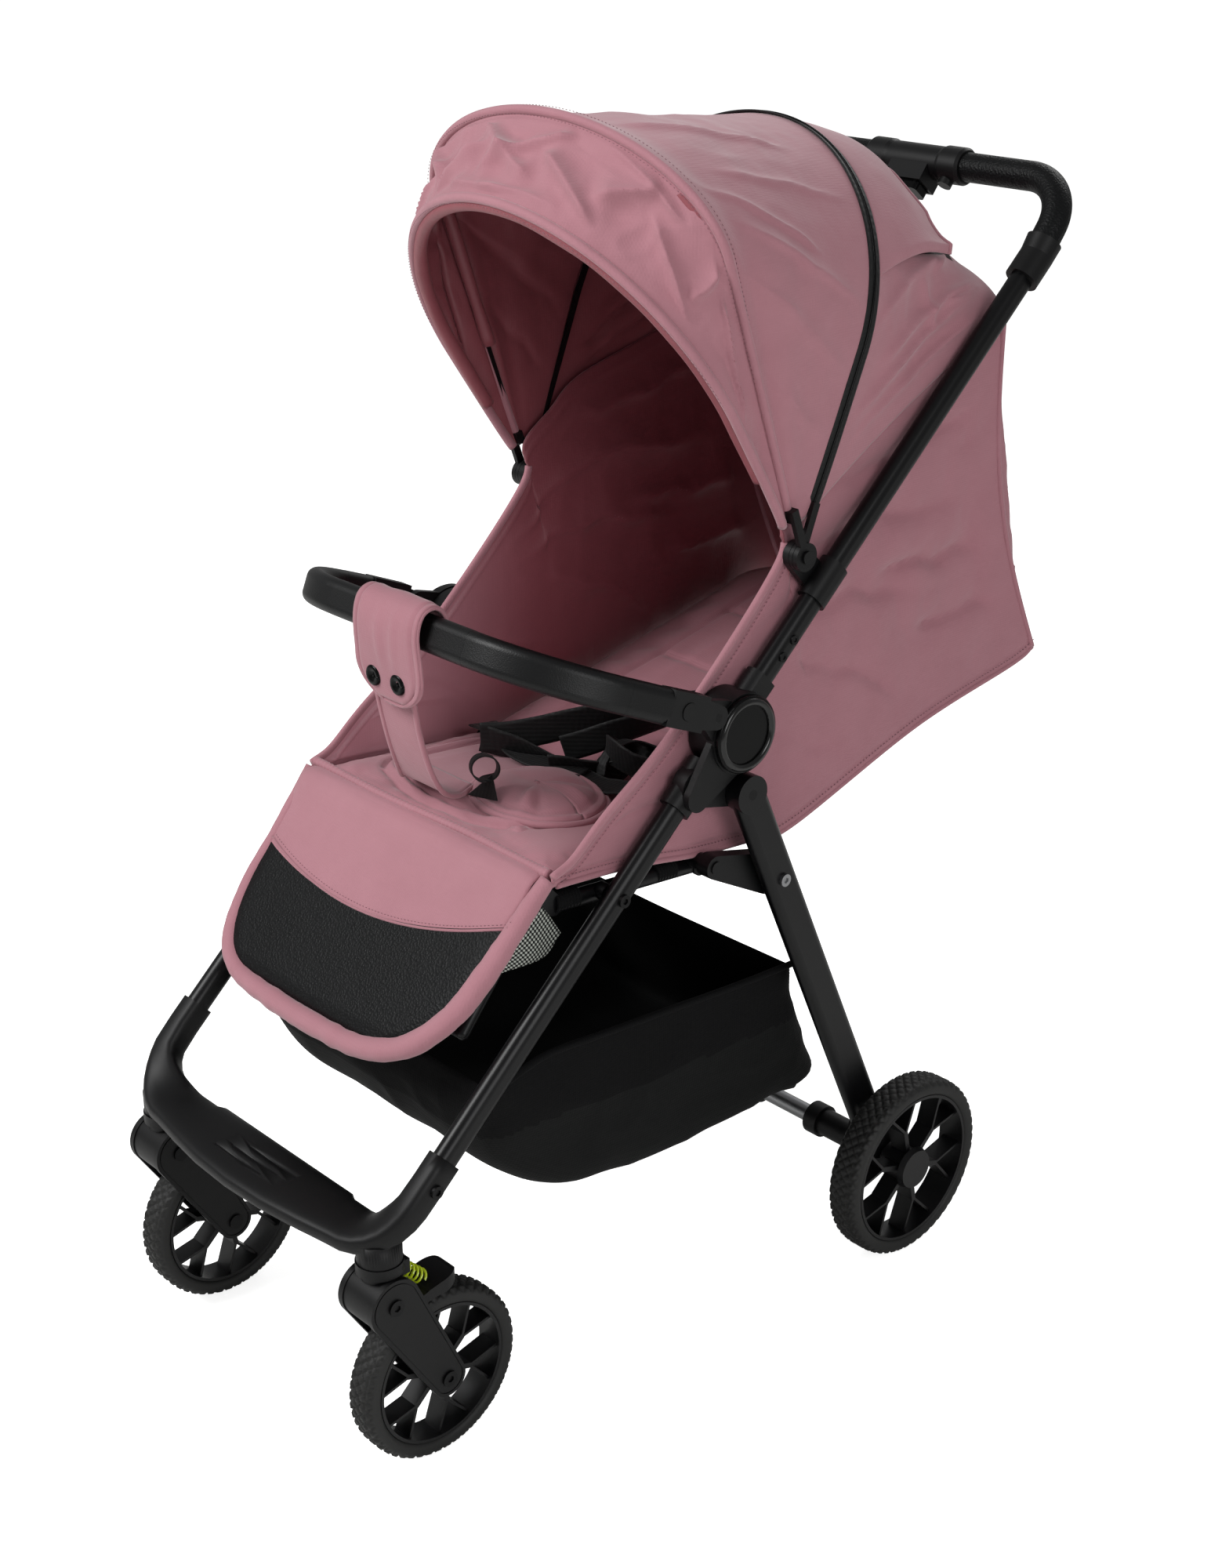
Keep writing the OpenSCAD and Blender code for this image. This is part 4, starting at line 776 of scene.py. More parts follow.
# %% [markdown]
# The zip between the top and the rear panel is two flat black tapes with the closed teeth
# between. From here the teeth read as one smooth bead, so they are one thin cord.

# %% Zip
TAPE_WIDE, TAPE_THICK, TAPE_OFF = 6.6, 1.4, 3.9
zip_mid = bow(ZIP_BOW, LIFT + 0.9)
zip_across = unit(bow(ZIP_BOW, LIFT, turned=1.0) - bow(ZIP_BOW, LIFT, turned=-1.0))
for letter, side in (("a", -1), ("b", 1)):
    off = TAPE_OFF * side + TAPE_WIDE * np.linspace(-0.5, 0.5, 5)[:, None, None]
    rows = zip_mid + zip_across * off
    two_faced("zip_tape_" + letter, rows, webbing, webbing, "hood_rear", TAPE_THICK)
cord_mesh("zip_teeth", zip_mid + (0, 0, 0.5), 1.3, gloss_abs, "hood_rear", 8)
print("zip", round(cut(rows)["flat"][0], 3), "m long")

# %% [markdown]
# The rear panel runs from the zip back to the tail. A net window lets air in. It is the same
# sheet with another material on its middle faces, so no edge of its own can come loose.

# %% Hood rear panel
rows = outward(between(bow(ZIP_BOW, LIFT), tail(TAIL_LIFT), ROWS, (0, 0, 9)))
fade = edges_fade(rows)
depth = 5.0 * hills_and_hollows(rows * (1, 0.5, 0.7), 75, 21)
depth += 2.6 * creases(rows * (1, 0.6, 0.8), 60, 22) - 4.0
depth += 1.0 * creases(rows, 26, 23)
depth += folded(rows, [
    (0.03, 0.1, 0.075, 0.9, 7, 12), (0.06, 0.05, 0.13, 0.85, 9, 15), (0.1, 0.15, 0.19, 0.98, 9, 16),
    (0.15, 0.02, 0.25, 0.7, 8, 15), (0.2, 0.5, 0.3, 0.95, 7, 13), (0.13, 0.6, 0.16, 0.98, 6, 10),
    (0.24, 0.1, 0.33, 0.5, 6, 14), (0.09, 0.55, 0.2, 0.4, 5, 10),
])
depth -= 4.0 * bump_at(np.abs(s - 0.5), 0.42, 0.05) * bump_at(t, 0.5, 0.25)
rows = raised(rows, depth * fade)
in_window = (np.abs(s - 0.5) < 0.27) & (t > 0.12) & (t < 0.82)
pick = np.where(in_window[:-1, :-1] & in_window[1:, 1:], 2, 0)
rear_panel = two_faced("hood_rear_cloth", rows, [polyester, hood_net], lining, REAR_SPAN, pick=pick)
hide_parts("hood_rear_panel")
print("rear panel", cut(rows))

# %% [markdown]
# A flap is sewn over the window's upper edge against rain. Its free edge stands off the cloth,
# stiffened by a bound lip.

# %% Window flap
FLAP_ROWS = 33
flap_root = rows[3, 50:191] + (0, 0, 1.6)
tapered = 1 - 0.6 * np.linspace(-1, 1, len(flap_root))[:, None] ** 2
flap_tip = rows[38, 50:191] + np.array([0, 16, 24]) * tapered
flap_rows = between(flap_root, flap_tip, FLAP_ROWS, (0, 4, 9))
loose = np.linspace(0, 1, FLAP_ROWS)[:, None]
flap_rows = raised(flap_rows, 1.5 * hills_and_hollows(flap_rows, 30, 24) * loose)
flap = two_faced("window_flap", flap_rows, polyester, lining, REAR_SPAN, 1.6)
cord_mesh("window_flap_lip", flap_rows[-1], 2.2, polyester, REAR_SPAN, 8)
print("window flap", cut(flap_rows))

# %% [markdown]
# The back panel falls from the tail to the seam at the foot of the backrest, and slack gathers
# in broad hanging folds. The side walls share its rear edges.

# %% Hood back panel
WALL_SPAN = (
    "chassis", "handle_frame",
    in_frame((0, HOOD_FOOT[0], HOOD_FOOT[1])), in_frame((0, HOOD_FOOT[0], HOOD_END[1])),
)
foot_row = tail(TAIL_LIFT) * (1, 0, 0) + (0, HOOD_FOOT[0] + TAIL_LIFT, HOOD_FOOT[1])
rows = outward(between(tail(TAIL_LIFT), foot_row, ROWS, (0, -27, 0)))
fade = edges_fade(rows, 0.7)
depth = 7.0 * hills_and_hollows(rows * (1, 1, 0.45), 60, 31)
depth += 3.0 * creases(rows * (1, 1, 0.7), 60, 32) - 4.0
depth += 1.2 * creases(rows, 26, 33)
depth += folded(rows, [
    (0.03, 0.05, 0.1, 0.9, 9, 13), (0.14, 0.1, 0.2, 0.95, 10, 16), (0.25, 0.0, 0.22, 0.8, 9, 15),
    (0.33, 0.15, 0.38, 0.95, 9, 16), (0.45, 0.05, 0.43, 0.8, 8, 15), (0.05, 0.75, 0.3, 0.9, 7, 11),
])
rows = raised(rows, depth * fade)
back_panel = two_faced("hood_back_cloth", rows, polyester_dark, lining, WALL_SPAN)
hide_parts("hood_back_panel")
print("back panel", cut(rows))

# %% [markdown]
# ## Side walls
# Each wall hangs between the handle tube and the seat. Outside it is the pink cloth, and inside
# the pink cloth with a painted shade that deepens under the hood. Its two long edges are curves
# drawn from the hinges and seams that hold them, and rows of cloth join the two.

# %% Wall edges
SEAT_FRONT = np.array([137.0, 517.0])
BACK_PIN = joint_at("backrest_recline")
WALL_POINTS, WALL_ROWS = 181, 91
wall_top = smooth_path([
    SEAT_FRONT + (3, -1), SEAT_FRONT + (26, 8), SEAT_FRONT + (63, 37), SEAT_FRONT + (148, 98),
    HINGE + (-16, -8), HINGE + (-14, 34), HINGE + (20, 62), HINGE + (60, 90),
    mixed(HINGE, HOOD_END, 0.6) + (0, 22), HOOD_END,
], WALL_POINTS)
wall_low = smooth_path([
    SEAT_FRONT + (1, -10), SEAT_FRONT + (28, -12), SEAT_FRONT + (80, -17), SEAT_FRONT + (125, -24),
    BACK_PIN + (-32, -6), BACK_PIN + (44, -13), BACK_PIN + (90, -14),
    mixed(BACK_PIN, HOOD_FOOT, 0.6) + (0, -8), HOOD_FOOT + (-30, -12), HOOD_FOOT + (2, -1),
], WALL_POINTS)
WALL_TALL = np.linalg.norm(wall_top - wall_low, axis=1)[None]
print("walls up to", round(float(WALL_TALL.max())), "mm tall")

# %% [markdown]
# The wall's folds all point at the two places that pull on it, the hinge and the tail. Sewing
# presses a groove along each turned edge, 13 mm in from the top and 9 mm up from the foot.


# %% Side walls
def wall_rows(side):
    """Rows of a wall's outside, from its top edge to its foot."""
    s = np.linspace(0, 1, WALL_POINTS)[None]
    t = np.linspace(0, 1, WALL_ROWS)[:, None]
    flat = mixed(wall_top[None], wall_low[None], t[..., None])
    # The rear edge joins the back panel, so both ends of the rows meet along it
    flat[:, :, 0] += -27 * np.sin(math.pi * t) * bump_at(s, 1.0, 0.12)
    x = np.full(flat.shape[:2], SIDE_X + 1.7)
    rows = np.stack([x, flat[..., 0], flat[..., 1]], -1)
    behind = np.clip((flat[..., 0] - 430) / 120, 0, 1)
    fade = np.sin(math.pi * t) ** 0.5 * np.clip(np.minimum(s, 1 - s) * 14, 0, 1)
    depth = 4.0 * creases(rows * (1, 0.8, 0.8), 110, 41) + 2.0 * creases(rows, 60, 42)
    depth += 0.9 * creases(rows, 26, 43)
    depth += folded(rows, [
        (0.4, 0.12, 0.93, 0.42, 9, 15), (0.44, 0.22, 0.8, 0.62, 9, 15), (0.5, 0.4, 0.72, 0.9, 8, 14),
        (0.6, 0.1, 0.98, 0.2, 9, 14), (0.38, 0.45, 0.58, 0.92, 6, 12), (0.7, 0.45, 0.97, 0.62, 9, 14),
        (0.75, 0.7, 0.96, 0.78, 7, 12), (0.1, 0.25, 0.3, 0.7, 5, 16), (0.2, 0.2, 0.36, 0.9, 5, 15),
    ], mirror=False)
    sewn = bump_at(t * WALL_TALL, 13.0, 2.4) + bump_at((1 - t) * WALL_TALL, 9.0, 2.2)
    rows[..., 0] -= np.clip(depth, 0, 20) * fade * (0.45 + 0.55 * behind) + 0.2 + 1.6 * sewn
    return outward(rows * (side, 1, 1))


for side, word in ((1, "left"), (-1, "right")):
    rows = wall_rows(side)
    # Inside, each wall wears the pink cloth with its painted shade
    wall = two_faced(
        "side_wall_" + word, rows, polyester_dark, wall_inside_painted_shade, WALL_SPAN
    )
    if side > 0:
        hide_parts("side_cloths")
    print(wall.name, cut(rows))

# %% [markdown]
# The wall's long edges are bound with a folded tape above and a narrow hem below, each with its
# row of stitches. Piping closes the corner where the wall meets the back panel.

# %% Wall trims
t = np.linspace(0, 1, WALL_ROWS)
corner = mixed(HOOD_END[:, None], HOOD_FOOT[:, None] + [[1], [0]], t)
corner[0] -= 27 * np.sin(math.pi * t)


def beside(side, line, off):
    """A wall's edge from its [y, z] points, on one side and a little off the wall."""
    return np.stack([np.full(len(line), side * (SIDE_X + off)), line[:, 0], line[:, 1]], -1)


for side, word in ((1, "left"), (-1, "right")):
    top_path, low_path = beside(side, wall_top[:93], 0.6), beside(side, wall_low[2:], -0.2)
    top_row, low_row = top_path + (side * 1.2, 6.2, -7.8), low_path + (side * 1.6, 0.5, 7.5)
    cord_mesh("wall_binding_" + word, top_path, 3.2, polyester, WALL_SPAN, squash=1.3)
    cord_mesh("wall_hem_" + word, low_path, 3.0, polyester_dark, WALL_SPAN)
    stitches(f"wall_stitch_{word}_0", top_row, WALL_SPAN, radius=0.6)
    stitches(f"wall_stitch_{word}_1", low_row, WALL_SPAN, radius=0.6)
    closing = beside(side, corner.T, 0.7)
    cord_mesh("corner_piping_" + word, closing, 3.0, polyester_dark, WALL_SPAN)
print("trimmed both walls")

# %% [markdown]
# Inside, each bow runs in a tunnel of lining cloth, a little slack, so it hangs off the bow.

# %% Bow tunnels
TUNNELS = (
    ("main_bow_tunnel", MAIN_BOW, "hood_main", 7.5),
    ("visor_tunnel", VISOR_BOW, "hood_visor", 4.0),
)
for name, shape, body, reach_in in TUNNELS:
    path = bow(shape, -reach_in)[14:-14]
    slack = 6.2 + 1.0 * hills_and_hollows(path, 40, 51)
    cord_mesh(name, path, slack, lining, body, 12)
print("sewed", len(TUNNELS), "tunnels")

# %% [markdown]
# ## Padded pieces
# A pad is two cloths sewn round their edge and stuffed. A rounded box would look hard, because
# real stuffing pushes the cloth out between its seams. Here a pad starts as two grids that share
# a rim, and Blender's cloth blows it up from inside while the sewn rim stays put. The swell is
# capped, so that the pad stays close to its CAD solid.


# %% Two grids sewn at a rim
def eased(count, edge):
    """0 on both ends of a row and 1 between, rounded over a share of its length at each end."""
    steps = np.minimum(np.arange(count), count - 1 - np.arange(count))
    return np.sqrt(1 - (1 - np.clip(steps / (edge * (count - 1)), 0, 1)) ** 2)


def grid_quads(index):
    """The four-sided faces of a grid of point numbers."""
    return np.stack([index[:-1, :-1], index[:-1, 1:], index[1:, 1:], index[1:, :-1]], -1).reshape(-1, 4)


def pillow(name, middle, thick, edge, up, materials, pick=None):
    """Two grids of cloth that share a rim. Middle holds the rows halfway through, and thick the
    stuffing. The last material is the underside's. Gives the pad and the points of its rim."""
    m, n, _ = middle.shape
    half = (eased(n, edge)[None] * eased(m, edge)[:, None] * thick / 2)[..., None]
    upper, lower = middle + up * half, middle - up * half
    index = np.arange(m * n).reshape(m, n)
    under = index.copy()
    under[1:-1, 1:-1] = np.arange((m - 2) * (n - 2)).reshape(m - 2, n - 2) + m * n
    top, bottom = grid_quads(index), grid_quads(under)[:, ::-1]
    points = np.concatenate([upper.reshape(-1, 3), lower[1:-1, 1:-1].reshape(-1, 3)])
    chosen = np.zeros(len(top), int) if pick is None else pick.reshape(-1)
    slots = np.concatenate([chosen, np.full(len(bottom), len(materials) - 1)])
    pad = new_piece(name, points, np.concatenate([top, bottom]), materials, None, slots)
    return pad, np.unique(np.concatenate([index[0], index[-1], index[:, 0], index[:, -1]]))


# %% [markdown]
# The cloth simulation runs for 20 frames with the rim pinned, and only its push outwards is kept.
# Sideways drift would pull the front layer through the layer behind where a pad bends sharply.


# %% Stuffing
FRAMES = 20


def points_of(mesh):
    """A mesh's points, in metres."""
    flat = np.zeros(len(mesh.vertices) * 3, np.float32)
    mesh.vertices.foreach_get("co", flat)
    return flat.reshape(-1, 3).astype(float)


def mesh_normals(pad):
    """The directions straight out of a pad at its points."""
    flat = np.zeros(len(pad.data.vertices) * 3, np.float32)
    pad.data.vertex_normals.foreach_get("vector", flat)
    return flat.reshape(-1, 3).astype(float)


def push_out(pad, before, height):
    """Moves a pad's points off its surface by a height in mm at each."""
    moved = before + mesh_normals(pad) * height[:, None] / 1000
    pad.data.vertices.foreach_set("co", np.asarray(moved, np.float32).ravel())
    pad.data.update()


def blow_up(pad, rim, cap, slack, pressure=4.0):
    """Inflates a pad as cloth cut that share too large, by no more than the cap in mm."""
    before = points_of(pad.data)
    pins = pad.vertex_groups.new(name="sewn_rim")
    pins.add([int(i) for i in rim], 1.0, "REPLACE")
    cloth = pad.modifiers.new("stuffing", "CLOTH")
    cloth.settings.vertex_group_mass = "sewn_rim"
    cloth.settings.use_pressure = True
    cloth.settings.uniform_pressure_force = pressure
    cloth.settings.shrink_min = -slack
    cloth.settings.effector_weights.gravity = 0
    cloth.point_cache.frame_end = FRAMES
    for frame_number in range(1, FRAMES + 1):
        scene.frame_set(frame_number)
    after = points_of(pad.evaluated_get(bpy.context.evaluated_depsgraph_get()).data)
    pad.modifiers.clear()
    pad.vertex_groups.clear()
    scene.frame_set(1)
    swell = np.maximum(((after - before) * 1000 * mesh_normals(pad)).sum(1), 0.0)
    push_out(pad, before, np.tanh(swell / cap) * cap)
    print(pad.name, "swelled by up to", round(float(swell.max()), 1), "mm before its cap of", cap)


# %% [markdown]
# Seams, channels and puckers are pressed in afterwards. Cloth finer than this would take minutes
# to simulate, so the pad is divided once and each point moved by a height worked out from its
# place.


# %% Pressed seams
def finer(pad):
    """One subdivision, applied."""
    mesh = pad.data
    bm = bmesh.new()
    bm.from_mesh(mesh)
    bmesh.ops.subdivide_edges(bm, edges=bm.edges, cuts=1, use_grid_fill=True, smooth=0.6)
    bm.to_mesh(mesh)
    bm.free()
    mesh.shade_smooth()


def press_in(pad, height_of):
    """Moves each point along its normal by a height in mm, worked out from its place in mm."""
    points = points_of(pad.data)
    push_out(pad, points, height_of(from_frame(points), mesh_normals(pad)))


def ridge_at(distance, width):
    """1 on a line and 0 away from it, over about that width in mm."""
    return np.exp(-((distance / width) ** 2))


def near_path(points, path):
    """Distance in mm from each point to the nearest stretch of a path."""
    best = np.full(len(points), 1e9)
    for a, b in zip(path[:-1], path[1:]):
        run = b - a
        t = np.clip(((points - a) @ run) / (run @ run + 1e-9), 0, 1)[:, None]
        best = np.minimum(best, np.linalg.norm(points - a - run * t, axis=1))
    return best


def laid_on(pad, path, up, lift):
    """Drops a path onto a pad along a direction, and leaves it that far above the surface."""
    tree = BVHTree.FromObject(pad, bpy.context.evaluated_depsgraph_get())
    laid = []
    for p in path:
        hit = tree.ray_cast(Vector(in_frame(p + up * 60)), Vector(-up), 0.2)[0]
        laid.append(p if hit is None else from_frame(hit) + up * lift)
    return np.array(laid)


def slope(origin, angle):
    """A slope's direction up it, its direction off it, and a function that places points on it by
    their distance across it, up it and off it. The slope runs through a [y, z] point."""
    run = np.array([0, math.cos(angle), math.sin(angle)])
    off_it = np.array([0, -math.sin(angle), math.cos(angle)])

    def place(x, along, off):
        x, along, off = (np.asarray(value, float)[..., None] for value in (x, along, off))
        return np.array([0, *origin]) + x * (1, 0, 0) + along * run + off * off_it

    return run, off_it, place


# %% [markdown]
# ## Leg rest
# The pad hangs from the seat's front edge. Pink cloth covers its upper half, pebbled leatherette
# the lower half, where shoes rub, and a fat stuffed roll runs round the edge. The cloth bends
# over the seat's front bar.


# %% Leg rest outline
CALF_PIN = joint_at("legrest_lift")
ALONG, OUT, on_calf = slope(CALF_PIN, math.radians(51))
PAD_LOW = -184.0
PAD_HALF_WIDE = 166.0
NEAR_CORNER, FAR_CORNER = 105.0, 76.0


def calf_edge(along, corner):
    """Half width of the leg rest at a height along it, with a lower corner of that radius."""
    drop = np.clip(PAD_LOW + corner - along, 0, corner)
    return PAD_HALF_WIDE - corner + np.sqrt(corner**2 - drop**2)


def seam_height(x):
    """The seam between the cloth and the leatherette dips in the middle."""
    return -86 + 0.00125 * (x + 34) ** 2


# %% [markdown]
# The pad's rows follow the seam between its two materials, so that it falls between two rows of
# faces. Above the pin the middle rolls over the bar to the crease.

# %% Leg rest pad
CALF_ROWS, SEAM_ROW, CALF_COLUMNS = 57, 30, 61
SEAT_TURN = math.radians(56)
ROLL_R = 12.0
ROLL_LONG = ROLL_R * SEAT_TURN
across = np.linspace(-1, 1, CALF_COLUMNS)[None]
row = np.arange(CALF_ROWS)[:, None]
low_row = np.clip((row - SEAM_ROW) / (CALF_ROWS - 1 - SEAM_ROW), 0, 1)
top_row = np.clip(row / SEAM_ROW, 0, 1)
reach = mixed(mixed(24.0, seam_height(across * 162), top_row), PAD_LOW, low_row)
side_half = np.where(across < 0, calf_edge(reach, FAR_CORNER), calf_edge(reach, NEAR_CORNER))
x = across * side_half - 6 + 0.05 * reach
rise = np.clip((reach + 34) / 34, 0, 1)
rise = rise * rise * (3 - 2 * rise)
flat_middle = on_calf(x, np.minimum(reach, 0), mixed(4.0, ROLL_R, rise))
turned = np.clip(reach / ROLL_LONG, 0, 1) * SEAT_TURN
run_on = np.clip(reach - ROLL_LONG, 0, 30)[..., None]
rolled = on_calf(x, ROLL_R * np.sin(turned), ROLL_R * np.cos(turned))
rolled = rolled + (ALONG * math.cos(SEAT_TURN) - OUT * math.sin(SEAT_TURN)) * run_on
middle = np.where((reach > 0)[..., None], rolled, flat_middle)
normals = OUT * np.cos(turned)[..., None] + ALONG * np.sin(turned)[..., None]
pick = np.broadcast_to(row[:-1] >= SEAM_ROW, (CALF_ROWS - 1, CALF_COLUMNS - 1)).astype(int)
finishes = [polyester, leatherette, black_cloth]
leg_pad, rim = pillow("leg_rest_pad", middle, 17.0 - 7.0 * rise, 0.07, normals, finishes, pick)
blow_up(leg_pad, rim, 1.2, 0.0, 1.0)
finer(leg_pad)


def leg_shape(place, normal):
    """The seam's groove, the puckers under the gathered seam, and the soft hills between."""
    local = place - (0, *CALF_PIN)
    x, along = local[:, 0], local @ ALONG
    front = np.clip(normal @ OUT * 2, 0, 1)
    above = along - seam_height(x)
    upper = np.clip(above / 30, 0, 1)
    groove = -2.2 * ridge_at(above, 3.2)
    gathers = np.stack([x, along * 0.16, 0 * along], -1)
    puckers = 1.3 * hills_and_hollows(gathers, 17, 61) * ridge_at(along - 6, 55) * upper
    soft = 1.8 * hills_and_hollows(place * (0.8, 1, 1), 70, 62)
    # The long dent falls from the leatherette's upper edge
    long_dent = bump_at(x + 0.5 * along, -132, 26) * np.clip((along + 175) / 60, 0, 1)
    return front * (groove + puckers + soft - 3.0 * long_dent * (1 - upper))


press_in(leg_pad, leg_shape)
bend_low, bend_high = on_calf(0.0, -14.0, 10.0), on_calf(0.0, 18.0, 0.0)
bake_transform(leg_pad)
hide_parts("legrest_pad")
print("leg rest pad", len(leg_pad.data.vertices), "points")

# %% [markdown]
# The roll is a sleeve of cloth round a foam rod, thicker at the foot than where it starts by the
# seat. Its skin ripples a little where it is pulled round the corners. The seam between the two
# materials is a thin cord that lies on the pad, with its stitches above.

# %% Leg rest roll and seams
ROLL_POINTS = 181
s = np.linspace(0, 1, ROLL_POINTS)
turns = smooth_path([
    (-172, 12), (-171, -60), (-172, -112), (-160, -160), (-128, -186), (-60, -193), (10, -193),
    (66, -188), (112, -168), (142, -128), (154, -84), (160, -40), (164, -6), (167, 12),
], ROLL_POINTS)
radius = mixed(6.0, 10.5, np.clip(s * 2.2, 0, 1)) * mixed(1.0, 0.72, np.clip((s - 0.86) / 0.14, 0, 1))
path = on_calf(turns[:, 0], turns[:, 1], 5.0)
ripple = 1 + 0.05 * hills_and_hollows(path, 13, 63) + 0.04 * hills_and_hollows(path, 6, 64)
edge_roll = cord_mesh("leg_rest_roll", path, radius * ripple, polyester, "legrest", 20)
seam_x = np.linspace(-168, 160, 90)
seam_line = on_calf(seam_x, seam_height(seam_x), 14.0)
seam_path = laid_on(leg_pad, seam_line, OUT, 0.3)
cord_mesh("leg_rest_seam", seam_path, 1.3, polyester_dark, "legrest", 8)
stitches("leg_rest_seam_stitch", laid_on(leg_pad, seam_line + ALONG * 4.5, OUT, 0.2), "legrest")
print("roll", round(float(radius.min()), 1), "to", round(float(radius.max()), 1), "mm in radius")

# %% [markdown]
# The seam where leg rest meets seat is gathered: its cloth is pushed together along the thread,
# so it stands up as a little roll with fine cross ripples.

# %% Gathered seam
CREASE_AT = np.array([0, 143.0, 514.0])
RIPPLE_PITCH = 5.2
x = np.linspace(-168, 168, 460)
crease_y, crease_z = CREASE_AT[1] + np.sin(x / 40), CREASE_AT[2] + 2.6 + 0.8 * np.sin(x / 31)
crease_path = np.stack([x - 3, crease_y, crease_z], -1)
uneven = 2.2 * hills_and_hollows(crease_path, 18, 65)
frill = 4.4 + 0.22 * np.sin(x * 2 * math.pi / RIPPLE_PITCH + uneven)
frill += 0.8 * hills_and_hollows(crease_path, 40, 66)
cord_mesh("gathered_seam", crease_path, frill, polyester, "seat", 14)
print("gathered seam", round(float(np.ptp(x))), "mm wide")

# %% [markdown]
# ## Seat cushion
# The cushion crowns in the middle and rolls down at the front. A raised panel is sewn into it
# with two lines, and the ridge between them stands up like a flat rope.

# %% Seat cushion
PAD_A, PAD_B = np.array([161.0, 504.0]), np.array([319.0, 490.0])
PAD_DOWN = PAD_B - PAD_A
PAD_RUN, PAD_UP, along_seat = slope(PAD_A, math.atan2(PAD_DOWN[1], PAD_DOWN[0]))
PAD_HALF = 165.0
PANEL_MIDDLE = -14


def on_seat(x, y, up):
    """A point over the seat: across, back from the axle, and above the cushion's flat face."""
    return along_seat(x, (np.asarray(y, float) - PAD_A[0]) / PAD_RUN[1], np.asarray(up, float) + 13)


x = np.linspace(-1, 1, 67)[None] * (PAD_HALF - 1)
y = np.linspace(143, 338, 45)[:, None]
front_roll = np.clip((160 - y) / 17, 0, 1) ** 2
middle = on_seat(x, y, -12.0) - np.array([0, 0, 3.0]) * front_roll[..., None]
cushion, rim = pillow("seat_cushion", middle, 22.0, 0.06, PAD_UP, [polyester, black_cloth])
blow_up(cushion, rim, 6.0, 0.02)
finer(cushion)
panel_line = smooth_path([
    (-128, 330), (-130, 260), (-127, 205), (-108, 178), (-60, 165), (-20, 163), (40, 168), (72, 181),
    (93, 208), (100, 250), (101, 330),
], 90)
inner_line = (panel_line - (PANEL_MIDDLE, 250)) * (0.89, 0.86) + (PANEL_MIDDLE, 250)


def seat_shape(place, normal):
    """Two sewn lines with a ridge between, the raised panel, and puckers along the front."""
    top = np.clip(normal @ PAD_UP * 2, 0, 1)
    x, y = place[:, 0], place[:, 1]
    flat = place[:, :2]
    inner = near_path(flat, inner_line)
    lines = -5.0 * ridge_at(near_path(flat, panel_line), 3.6) - 4.0 * ridge_at(inner, 3.4)
    ridge = 3.2 * ridge_at(near_path(flat, (panel_line + inner_line) / 2), 5)
    inside = (np.abs(x - PANEL_MIDDLE) < 100) & (y > 176)
    panel = 4.0 * inside * np.clip(inner / 25, 0, 1)
    gathers = np.stack([x, y * 0.2, 0 * x], -1)
    front = 1.1 * hills_and_hollows(gathers, 15, 71) * ridge_at(y - 150, 22)
    return top * (lines + ridge + panel + front + 1.2 * hills_and_hollows(place, 60, 72))


press_in(cushion, seat_shape)
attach(cushion, "seat")
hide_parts("seat_pad")
print("cushion", len(cushion.data.vertices), "points")

# %% [markdown]
# ## Backrest
# The backrest is a long quilted pad: two side rolls and a middle with cross channels. It lies
# back here, under the hood.

# %% Backrest
BACK_RUN, BACK_UP, on_back = slope(BACK_PIN, math.radians(13))
BACK_TOP_R = 58
ROLL_SEAM_X = 104
CHANNELS = (88, 190, 292)
along = np.linspace(4, 414, 61)[:, None]
past_corner = np.clip(along - 356, 0, 57.5)
half = PAD_HALF - BACK_TOP_R + np.sqrt(BACK_TOP_R**2 - past_corner**2)
middle = on_back(np.linspace(-1, 1, 49)[None] * half, along, 0.0)
back_pad, rim = pillow("backrest_pad", middle, 24.0, 0.09, BACK_UP, [polyester_dark, black_cloth])
blow_up(back_pad, rim, 8.0, 0.03)
finer(back_pad)


def back_shape(place, normal):
    """The lines beside the side rolls, the cross channels between them, and a pull in the cloth."""
    local = place - (0, *BACK_PIN)
    along, top = local @ BACK_RUN, np.clip(normal @ BACK_UP * 2, 0, 1)
    lines = -5.0 * ridge_at(np.abs(local[:, 0]) - ROLL_SEAM_X, 4.5)
    inside = np.abs(local[:, 0]) < ROLL_SEAM_X
    for height in CHANNELS:
        lines -= 3.5 * inside * ridge_at(along - height, 4.5)
    pull = 1.6 * creases(place * (1, 0.5, 1), 40, 81) - 0.8
    return top * (lines + pull)


press_in(back_pad, back_shape)
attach(back_pad, "back")
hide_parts("backrest")
print("backrest", len(back_pad.data.vertices), "points")

# %% [markdown]
# ## Crotch pad
# The crotch pad is a thick tongue sewn to the seat at its front. Its rear half stands up where
# the buckle strap pulls it, which throws folds across it. It is nearly round, so its rows are
# rings from its middle to its edge, and each fold is a ridge at one angle.

# %% Crotch pad
rho = np.linspace(0, 1, 25)[:, None]
theta = np.linspace(0, 2 * math.pi, 97)[None]
oval = 12 * np.cos(theta * 2 + 0.6)
x = 37 + rho * ((67 + 0.35 * oval) * np.cos(theta) + 10 * np.sin(theta))
y = 240 + rho * ((60 + 0.3 * oval) * np.sin(theta) - 6 * np.cos(theta))
high = 17 * (1 - rho**3) + 6.4
high = high + 9 * np.clip((y - 235) / 60, 0, 1) * (1 - 0.6 * rho**3)
